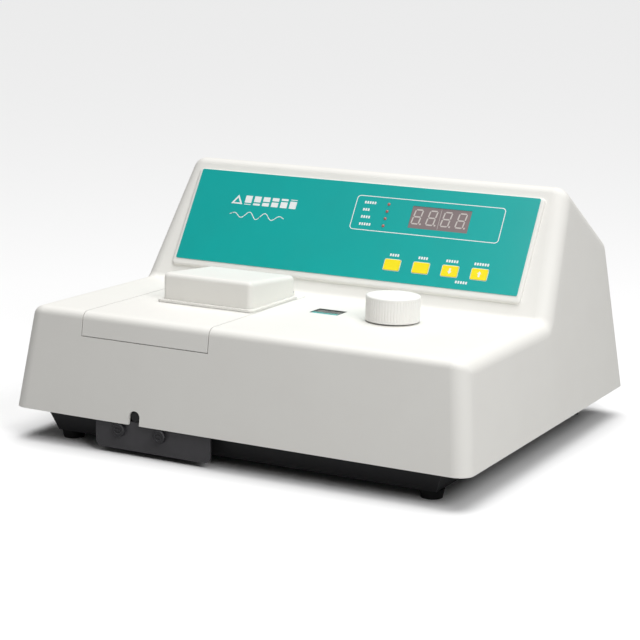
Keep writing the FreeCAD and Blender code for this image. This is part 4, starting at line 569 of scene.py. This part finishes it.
def panelSpan(node):
    points = [v.co - panelOrigin for v in nodes[node].data.vertices]
    ups = [p.dot(panelUp) for p in points]
    outs = [p.dot(panelOut) for p in points]
    xs = [p.x for p in points]
    return min(xs), max(xs), min(ups), max(ups), max(outs)


lampLook = {"count": 4, "radius": 1.5, "crown": 0.7, "steps": 20}
printLook = {
    "thickness": 0.05, "line": 0.8, "frameLeft": 61.2, "frameRight": 33.8, "frameLow": 7.4,
    "frameHigh": 6.4, "frameCorner": 4.0, "letterWide": 1.8, "letterGap": 0.8,
    "letterHigh": 2.7, "lampWords": (5, 3, 4, 5), "lampWordsLeft": 24.5,
    "keyWords": (4, 4, 5, 6), "keyWordRise": 4.8, "lowWord": 5, "lowWordFall": 4.6,
    "lowWordShift": 6.0, "lowWordKey": 3, "keyLineBend": 0.6,
    "keyLine": 0.5, "keyLineGap": 0.15, "keyFlange": 1.1, "keyCorner": 1.6,
    "letterCorner": 0.3,
}


def addWord(shape, left, middle, letters):
    look = printLook
    for number in range(letters):
        start = left + number * (look["letterWide"] + look["letterGap"]) * mm
        half = look["letterHigh"] * mm / 2
        outline = roundedBox(start, start + look["letterWide"] * mm, middle - half,
                             middle + half, look["letterCorner"] * mm, 2)
        addPlate(shape, outline, onPanel, 0.0, look["thickness"] * mm)


def wordLength(letters):
    look = printLook
    return (letters * (look["letterWide"] + look["letterGap"]) - look["letterGap"]) * mm


def makePanelPrint():
    look = printLook
    thick = look["thickness"] * mm
    shape = bmesh.new()
    left, right, low, high, _ = panelSpan("display_window")
    line = look["line"] * mm
    edges = (left - look["frameLeft"] * mm, right + look["frameRight"] * mm,
             low - look["frameLow"] * mm, high + look["frameHigh"] * mm)
    corner = look["frameCorner"] * mm
    inner = (edges[0] + line, edges[1] - line, edges[2] + line, edges[3] - line)
    addRing(shape, roundedBox(*edges, corner), roundedBox(*inner, corner - line), onPanel,
            0.0, thick)
    lampLeft, _, lampLow, lampHigh, _ = panelSpan("indicator_leds")
    count = len(look["lampWords"])
    radius = lampLook["radius"] * mm
    for number, letters in enumerate(look["lampWords"]):
        share = (count - 1 - number) / (count - 1)
        middle = lampLow + radius + share * (lampHigh - lampLow - 2 * radius)
        addWord(shape, lampLeft - look["lampWordsLeft"] * mm, middle, letters)
    for number, letters in enumerate(look["keyWords"]):
        left, right, low, high, _ = panelSpan("panel_key_%d" % (number + 1))
        inset = look["keyFlange"] * mm
        left, right, low, high = left + inset, right - inset, low + inset, high - inset
        addWord(shape, (left + right - wordLength(letters)) / 2,
                high + look["keyWordRise"] * mm, letters)
        gap = look["keyLineGap"] * mm
        wide = gap + look["keyLine"] * mm
        corner = look["keyCorner"] * mm
        addRing(shape, roundedBox(left - wide, right + wide, low - wide, high + wide, corner),
                roundedBox(left - gap, right + gap, low - gap, high + gap,
                           corner - look["keyLineBend"] * mm), onPanel, 0.0, thick)
        if number == look["lowWordKey"] - 1:
            lowWordX = right + look["lowWordShift"] * mm
            lowWordUp = low - look["lowWordFall"] * mm
    letters = look["lowWord"]
    addWord(shape, lowWordX - wordLength(letters) / 2, lowWordUp, letters)
    return makePiece("panelPrint", shape, "whiteInk", "casing")


markLook = {
    "left": 44.0, "low": 64.7, "high": 74.7, "bars": 6, "barWide": 7.6, "barGap": 2.6,
    "barCorner": 0.35, "slit": 1.3, "prismWide": 13.0, "prismLine": 1.5, "prismCut": 2.1,
    "space": 2.0, "curveLow": 49.5, "curveHigh": 57.0, "curveLine": 0.8, "curveLong": 62.0,
    "curveSteps": 90, "curveWaves": 7,
}


def makePanelMark():
    look = markLook
    thick = printLook["thickness"] * mm
    shape = bmesh.new()
    filmLeft = panelSpan("panel_overlay")[0]
    left = filmLeft + look["left"] * mm
    low, high = look["low"] * mm, look["high"] * mm
    wide = look["prismWide"] * mm
    line = look["prismLine"] * mm
    cut = look["prismCut"] * line
    outer = [(left, low), (left + wide, low), (left + wide / 2, high)]
    inner = [(left + cut, low + line), (left + wide - cut, low + line),
             (left + wide / 2, high - cut)]
    addRing(shape, outer, inner, onPanel, 0.0, thick)
    start = left + wide + look["space"] * mm
    slit = look["slit"] * mm
    for number in range(look["bars"]):
        barLeft = start + number * (look["barWide"] + look["barGap"]) * mm
        barRight = barLeft + look["barWide"] * mm
        split = low + (number + 1) / (look["bars"] + 1) * (high - low)
        for bottom, top in ((low, split - slit / 2), (split + slit / 2, high)):
            addPlate(shape, roundedBox(barLeft, barRight, bottom, top,
                                       look["barCorner"] * mm, 2), onPanel, 0.0, thick)
    steps = look["curveSteps"]
    centre = (look["curveLow"] + look["curveHigh"]) / 2 * mm
    swing = (look["curveHigh"] - look["curveLow"]) / 2 * mm
    half = look["curveLine"] * mm / 2
    points = []
    for step in range(steps + 1):
        share = step / steps
        peak = math.sin(share * math.pi * look["curveWaves"]) * math.sin(share * math.pi) ** 0.5
        points.append((left + (look["space"] + share * look["curveLong"]) * mm,
                       centre + swing * peak))
    upper, lower = [], []
    for number, (u, v) in enumerate(points):
        before = points[max(number - 1, 0)]
        after = points[min(number + 1, steps)]
        way = Vector((after[0] - before[0], after[1] - before[1])).normalized()
        upper.append((u - way.y * half, v + way.x * half))
        lower.append((u + way.y * half, v - way.x * half))
    for number in range(steps):
        addPlate(shape, [lower[number], lower[number + 1], upper[number + 1], upper[number]],
                 onPanel, 0.0, thick)
    return makePiece("panelMark", shape, "whiteInk", "casing")


arrowLook = {"ways": {3: -1, 4: 1}, "stem": 0.9, "head": 2.2, "tail": -2.9, "neck": 0.2,
             "tip": 3.0}


def makeKeyArrows():
    look = arrowLook
    stem, head, tail, neck, tip = (look[k] for k in ("stem", "head", "tail", "neck", "tip"))
    thick = printLook["thickness"] * mm
    for number, way in look["ways"].items():
        left, right, low, high, out = panelSpan("panel_key_%d" % number)
        x, up = (left + right) / 2, (low + high) / 2
        outline = [(-stem, tail), (stem, tail), (stem, neck), (head, neck), (0.0, tip),
                   (-head, neck), (-stem, neck)]
        outline = [(x + u * mm * way, up + v * mm * way) for u, v in outline]
        shape = bmesh.new()
        addPlate(shape, outline, onPanel, out, out + thick)
        makePiece("keyArrow%d" % number, shape, "whiteInk", "key_%d" % number)


digitLook = {"count": 4, "high": 16.2, "wide": 9.0, "pitch": 15.3, "stroke": 1.35, "lean": 0.14,
             "gap": 0.35, "dot": 0.95, "shift": -0.9, "rise": 0.6, "divider": 0.35,
             "thickness": 0.03, "dotSteps": 16, "dotSpace": 1.3, "dividerShift": 0.6,
             "dividerThickness": 0.02, "dividerMargin": 1.0}


def makeDigits():
    look = digitLook
    left, right, low, high, out = panelSpan("display_window")
    middle = (left + right) / 2 + look["shift"] * mm
    base = (low + high) / 2 + look["rise"] * mm - look["high"] * mm / 2
    half = look["stroke"] / 2
    thick = look["thickness"] * mm
    shape = bmesh.new()
    top, mid, wide = look["high"], look["high"] / 2, look["wide"]
    gap = look["gap"]

    def across(v):
        return [(gap + half, v), (gap + 2 * half, v + half), (wide - gap - 2 * half, v + half),
                (wide - gap - half, v), (wide - gap - 2 * half, v - half),
                (gap + 2 * half, v - half)]

    def upright(u, start, end):
        return [(u, start + gap), (u + half, start + gap + half), (u + half, end - gap - half),
                (u, end - gap), (u - half, end - gap - half), (u - half, start + gap + half)]
    strokes = [across(half), across(mid), across(top - half)]
    strokes += [upright(u, start, end) for u in (half, wide - half)
                for start, end in ((half, mid), (mid, top - half))]
    for number in range(look["count"]):
        place = (number - (look["count"] - 1) / 2) * look["pitch"] - wide / 2

        def lay(u, v, w, place=place):
            return onPanel(middle + (place + u + (v - mid) * look["lean"]) * mm,
                           base + v * mm, w)
        for stroke in strokes:
            addPlate(shape, stroke, lay, out, out + thick)
        dot = [(wide + look["dotSpace"] + u, half + v)
               for u, v in circle(look["dot"], look["dotSteps"])]
        addPlate(shape, dot, lay, out, out + thick)
    line = look["divider"] * mm / 2
    seam = middle + look["dividerShift"] * mm
    margin = look["dividerMargin"] * mm
    addPlate(shape, rectangle(seam - line, seam + line, low + margin, high - margin), onPanel,
             out, out + look["dividerThickness"] * mm)
    return makePiece("displayDigits", shape, "segmentInk", "casing")


def makeLampDomes():
    look = lampLook
    left, right, low, high, out = panelSpan("indicator_leds")
    radius = look["radius"] * mm
    turns = [math.radians(a) for a in range(0, 91, 10)]
    profile = [(radius * math.cos(a), radius * look["crown"] * math.sin(a)) for a in turns]
    shape = bmesh.new()
    x = (left + right) / 2
    for number in range(look["count"]):
        up = low + radius + number / (look["count"] - 1) * (high - low - 2 * radius)
        addLathe(shape, profile, lambda u, v, w, up=up: onPanel(x + u, up + v, out + w),
                 look["steps"])
    return makePiece("lampDomes", shape, "ledLens", "casing")


makePanelPrint()
makePanelMark()
makeKeyArrows()
makeDigits()
makeLampDomes()
print("panel: print, mark, arrows, digits and lamps")

dialLook = {"from": 330, "to": 990, "step": 10, "spread": 320.0, "numberEvery": 5,
            "tickLong": 3.4, "tickShort": 2.0, "tickWide": 0.35, "tickEnd": 30.0,
            "numberSize": 4.2, "numberIn": 8.4, "thickness": 0.06, "zero": 172.0,
            "band": (30.4, 33.2), "bandSteps": 96}


def addText(shape, words, size, turn, thickness):
    curve = bpy.data.curves.new("dialNumber", "FONT")
    curve.body = words
    curve.size = size
    curve.extrude = thickness / 2
    curve.align_x = "CENTER"
    curve.align_y = "CENTER"
    curve.resolution_u = 2
    thing = bpy.data.objects.new("dialNumber", curve)
    scene.collection.objects.link(thing)
    bpy.context.view_layer.update()
    mesh = bpy.data.meshes.new_from_object(
        thing.evaluated_get(bpy.context.evaluated_depsgraph_get()))
    mesh.transform(turn)
    shape.from_mesh(mesh)
    bpy.data.objects.remove(thing)
    bpy.data.curves.remove(curve)
    bpy.data.meshes.remove(mesh)


def makeDialScale():
    look = dialLook
    _, high, middle = boxOf("wavelength_dial")
    top = high.z
    thick = look["thickness"] * mm
    shape = bmesh.new()
    count = (look["to"] - look["from"]) // look["step"]
    for number in range(count + 1):
        turn = math.radians(look["zero"] + look["spread"] * number / count)
        labelled = number % look["numberEvery"] == 0
        reach = look["tickLong"] if labelled else look["tickShort"]

        def lay(u, v, w, turn=turn):
            return Vector((middle.x + u * math.cos(turn) - v * math.sin(turn),
                           middle.y + u * math.sin(turn) + v * math.cos(turn), top + w))
        half = look["tickWide"] * mm / 2
        end = look["tickEnd"] * mm
        addPlate(shape, rectangle(end - reach * mm, end, -half, half), lay, 0.0, thick)
        if labelled:
            place = Matrix.Translation(lay(end - look["numberIn"] * mm, 0, thick / 2))
            facing = Matrix.Rotation(turn + math.pi / 2, 4, "Z")
            addText(shape, str(look["from"] + number * look["step"]),
                    look["numberSize"] * mm, place @ facing, thick)
    makePiece("dialScale", shape, "dialInk", "dial")
    shape = bmesh.new()
    inner, outer = (circle(r * mm, look["bandSteps"]) for r in look["band"])
    addRing(shape, outer, inner, lambda u, v, w: Vector((middle.x + u, middle.y + v, top + w)),
            0.0, thick)
    makePiece("dialBand", shape, "tealFilm", "dial")


makeDialScale()

# painted shade: a thin black ring laid on the dial window stands in for the shaded walls of the
# window recess, widest at the back wall; the teal index blocks are the real stripe
windowShadeLook = {"lap": 3.15, "side": 0.9, "front": 0.5, "back": 2.6, "high": 0.25, "sink": 0.03,
             "cornerRadius": 0.4, "blocks": 4, "blockGap": 0.9, "blockDeep": 6.0,
             "blockHigh": 0.08}


def makeWindowShadeAndIndex():
    look = windowShadeLook
    low, high, _ = boxOf("dial_window")
    lap, corner = look["lap"] * mm, look["cornerRadius"] * mm
    left, right, front, back = low.x + lap, high.x - lap, low.y + lap, high.y - lap
    base = high.z + look["sink"] * mm

    def lay(u, v, w):
        return Vector((u, v, base + w))
    shape = bmesh.new()
    outer = roundedBox(left, right, front, back, corner, 3)
    left, right = left + look["side"] * mm, right - look["side"] * mm
    front, back = front + look["front"] * mm, back - look["back"] * mm
    addRing(shape, outer, roundedBox(left, right, front, back, corner, 3), lay, 0.0,
            look["high"] * mm)
    makePiece("windowRecessShade", shape, "blackPlastic", "casing")
    shape = bmesh.new()
    step = (right - left) / look["blocks"]
    half = look["blockGap"] * mm / 2
    for number in range(look["blocks"]):
        start = left + number * step
        addPlate(shape, roundedBox(start + half, start + step - half, front + half,
                                   front + look["blockDeep"] * mm, corner, 3), lay, 0.0,
                 look["blockHigh"] * mm)
    makePiece("windowIndex", shape, "tealFilm", "casing")


makeWindowShadeAndIndex()
print("dial scale, window liner and index")

thumbLook = {"ridges": 36, "ridge": 0.25, "ridgeSteps": 4, "chamfer": 0.7, "dish": 0.55,
             "pit": 0.5, "pitDeep": 0.8, "barLong": 0.42, "barHalf": 0.7, "barSink": 0.2,
             "shankRadius": 2.0, "shankLong": 16.0, "shankSteps": 20}


def makeThumbScrews():
    look = thumbLook
    low, high, middle = boxOf("plate_screws")
    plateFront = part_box("front_plate")[0].y
    radius = (high.z - low.z) / 2
    tall = plateFront - low.y
    shape = bmesh.new()
    for x in (low.x + radius, high.x - radius):
        def lay(u, v, w, x=x):
            return Vector((x + u, plateFront - w, middle.z + v))
        steps = look["ridges"] * look["ridgeSteps"]
        outline = []
        for step in range(steps):
            turn = 2 * math.pi * step / steps
            reach = radius - look["ridge"] * mm * (0.5 - 0.5 * math.cos(turn * look["ridges"]))
            outline.append((reach * math.cos(turn), reach * math.sin(turn)))
        chamfer, pitDeep = look["chamfer"] * mm, look["pitDeep"] * mm
        rows = [[shape.verts.new(lay(u * share, v * share, w)) for u, v in outline]
                for share, w in ((1, 0.0), (1, tall - chamfer), (1 - chamfer / radius, tall),
                                 (look["dish"], tall), (look["pit"], tall - pitDeep))]
        joinRows(shape, rows)
        shape.faces.new(rows[-1])
        shape.faces.new(rows[0][::-1])
        long, half = radius * look["barLong"], look["barHalf"] * mm
        addPlate(shape, rectangle(-long, long, -half, half), lay, tall - pitDeep,
                 tall - look["barSink"] * mm)
        shank, end = look["shankRadius"] * mm, -look["shankLong"] * mm
        addLathe(shape, [(0, end), (shank, end), (shank, 0)], lay, look["shankSteps"])
    piece = makePiece("thumbScrews", shape, "thumbPlastic", "casing")
    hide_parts("plate_screws")


makeThumbScrews()

screwLook = {"radius": 4.0, "high": 2.2, "rim": 0.35, "arm": 2.3, "armWide": 0.8, "deep": 1.2,
             "steps": 32, "spin": 0.7}


def crossScrew():
    look = screwLook
    head = bmesh.new()
    radius, tall = look["radius"] * mm, look["high"] * mm
    rim = look["rim"]
    turns = [math.radians(a) for a in range(15, 90, 15)]
    profile = [(0, 0), (radius, 0), (radius, tall * rim)]
    profile += [(radius * math.cos(a), tall * (rim + (1 - rim) * math.sin(a))) for a in turns]
    addLathe(head, profile + [(0, tall)], asPoint, look["steps"])
    tool = bmesh.new()
    arm, half = look["arm"] * mm, look["armWide"] * mm / 2
    cross = [(half, half), (half, arm), (-half, arm), (-half, half), (-arm, half), (-arm, -half),
             (-half, -half), (-half, -arm), (half, -arm), (half, -half), (arm, -half),
             (arm, half)]
    addPlate(tool, cross, asPoint, tall - look["deep"] * mm, 2 * tall)
    things = []
    for name, shape in (("screwHead", head), ("screwTool", tool)):
        bmesh.ops.recalc_face_normals(shape, faces=shape.faces)
        mesh = bpy.data.meshes.new(name)
        shape.to_mesh(mesh)
        shape.free()
        thing = bpy.data.objects.new(name, mesh)
        scene.collection.objects.link(thing)
        things.append(thing)
    cutter = things[0].modifiers.new("recess", "BOOLEAN")
    cutter.object = things[1]
    cutter.solver = "EXACT"
    bpy.context.view_layer.update()
    mesh = bpy.data.meshes.new_from_object(
        things[0].evaluated_get(bpy.context.evaluated_depsgraph_get()))
    for thing in things:
        bpy.data.objects.remove(thing)
    return mesh


screwMesh = crossScrew()


def addScrews(shape, places, facing):
    turn = Vector((0, 0, 1)).rotation_difference(Vector(facing)).to_matrix().to_4x4()
    for number, place in enumerate(places):
        spin = Matrix.Rotation(screwLook["spin"] * number, 4, "Z")
        copy = screwMesh.copy()
        copy.transform(Matrix.Translation(place) @ turn @ spin)
        shape.from_mesh(copy)
        bpy.data.meshes.remove(copy)


rearLook = {
    "screwSide": 14.0, "screwLow": 11.0, "screwHigh": 15.0, "plateShift": -76.0,
    "plateFall": 16.0, "plateWide": 52.0, "plateHigh": 30.0, "plateCorner": 2.0,
    "plateThick": 0.25, "lines": (44, 38, 41, 30, 44), "lineStart": 5.0, "linePitch": 4.6,
    "lineMargin": 4.0, "lineHigh": 1.1, "lineCorner": 0.4, "lineThick": 0.04,
}


def makeRearPanel():
    look = rearLook
    low, high, middle = boxOf("rear_panel")
    face = high.y
    side = look["screwSide"] * mm
    places = [(x, face, z) for x in (low.x + side, middle.x, high.x - side)
              for z in (low.z + look["screwLow"] * mm, high.z - look["screwHigh"] * mm)]
    shape = bmesh.new()
    addScrews(shape, places, (0, 1, 0))
    makePiece("rearScrews", shape, "zincSteel", "casing")

    def onRear(u, v, w):
        return Vector((-u, face + w, v))
    left = look["plateShift"] * mm - boxOf("serial_port")[2].x
    bottom = middle.z - look["plateFall"] * mm
    thick = look["plateThick"] * mm
    shape = bmesh.new()
    addPlate(shape, roundedBox(left, left + look["plateWide"] * mm, bottom,
                               bottom + look["plateHigh"] * mm, look["plateCorner"] * mm),
             onRear, 0.0, thick)
    makePiece("ratingPlate", shape, "labelStock", "casing")
    left += look["lineMargin"] * mm
    shape = bmesh.new()
    for number, long in enumerate(look["lines"]):
        v = bottom + (look["lineStart"] + look["linePitch"] * number) * mm
        addPlate(shape, roundedBox(left, left + long * mm, v, v + look["lineHigh"] * mm,
                                   look["lineCorner"] * mm, 2), onRear, thick,
                 thick + look["lineThick"] * mm)
    makePiece("ratingLines", shape, "dialInk", "casing")


pinLook = {"rows": ((1.4, 5), (-1.4, 4)), "pitch": 2.76, "sink": 5.0, "steps": 12,
           "profile": ((0, -2.0), (0.5, -2.0), (0.5, 3.4), (0.25, 4.0), (0, 4.1))}


def makeSerialPins():
    look = pinLook
    _, high, middle = boxOf("serial_port")
    profile = [(radius * mm, height * mm) for radius, height in look["profile"]]
    shape = bmesh.new()
    for row, count in look["rows"]:
        for number in range(count):
            place = Vector((middle.x + (number - (count - 1) / 2) * look["pitch"] * mm,
                            high.y - look["sink"] * mm, middle.z + row * mm))
            addLathe(shape, profile, lambda u, v, w, place=place: place + Vector((u, w, v)),
                     look["steps"])
    makePiece("serialPins", shape, "gearBrass", "casing")


fuseLook = {"long": 6.0, "half": 0.8, "thick": 0.3, "bevel": 0.1}


def makeFuseSlot():
    look = fuseLook
    _, high, middle = boxOf("fuse_holder")
    long, half = look["long"] * mm, look["half"] * mm
    shape = bmesh.new()
    addPlate(shape, rectangle(-long, long, -half, half),
             lambda u, v, w: Vector((middle.x + u, high.y + w, middle.z + v)), 0.0,
             look["thick"] * mm)
    makePiece("fuseSlot", shape, "zincSteel", "casing",
              bevel=look["bevel"] * mm)


rockerLook = {"rise": 5.0, "ring": (2.1, 1.5), "ringSteps": 24, "barLong": 2.0, "barHalf": 0.3,
              "thick": 0.06}


def makeRockerMarks():
    look = rockerLook
    middle = boxOf("power_rocker")[2]
    mesh = nodes["power_rocker"].data
    upper = [f for f in mesh.polygons if f.normal.y > 0.9]
    lower = [f for f in mesh.polygons if 0.7 < f.normal.y < 0.99 and f.normal.z < -0.1]
    thick, long, half = (look[k] * mm for k in ("thick", "barLong", "barHalf"))
    shape = bmesh.new()
    for faces, way in ((upper, 1), (lower, -1)):
        face = max(faces, key=lambda f: f.area)
        out = face.normal.normalized()
        rise = Vector((0, -out.z, out.y)).normalized()
        side = rise.cross(out)
        height = middle.z + way * look["rise"] * mm
        start = Vector((middle.x, 0, height))
        start.y = (out.dot(mesh.vertices[face.vertices[0]].co) - out.z * height) / out.y

        def lay(u, v, w, start=start, side=side, rise=rise, out=out):
            return start + side * u + rise * v + out * w
        if way > 0:
            outer, inner = (circle(r * mm, look["ringSteps"]) for r in look["ring"])
            addRing(shape, outer, inner, lay, 0.0, thick)
        else:
            addPlate(shape, rectangle(-half, half, -long, long), lay, 0.0, thick)
    makePiece("rockerMarks", shape, "whiteInk", "rocker")


makeRearPanel()
makeSerialPins()
makeFuseSlot()
makeRockerMarks()
print("rear: screws, rating plate, pins, fuse slot and rocker marks")

liquids = {"tones": ((236, 240, 244), (150, 196, 230), (240, 206, 90), (226, 120, 110)),
           "fill": 0.72, "wall": 1.35, "floor": 3.2, "corner": 0.5, "rough": (0.0, 0.02),
           "bend": 1.33}


def makeLiquids():
    look = liquids
    low, high, middle = boxOf("sample_cells")
    wide = high.x - low.x
    pitch = (high.y - low.y - wide) / (len(look["tones"]) - 1)
    half = wide / 2 - look["wall"] * mm
    top = low.z + look["fill"] * (high.z - low.z)
    for number, tone in enumerate(look["tones"]):
        name = "sampleLiquid%d" % (number + 1)
        materials[name] = makeFinish(name, {
            "tones": (tone, tone), "rough": look["rough"], "clear": 1.0, "bend": look["bend"],
            "bump": 0.0})
        y = low.y + wide / 2 + pitch * number
        shape = bmesh.new()
        addPlate(shape, roundedBox(middle.x - half, middle.x + half, y - half, y + half,
                                   look["corner"] * mm, 3), asPoint,
                 low.z + look["floor"] * mm, top)
        makePiece(name, shape, name, "changer")


makeLiquids()
print("sample liquids")
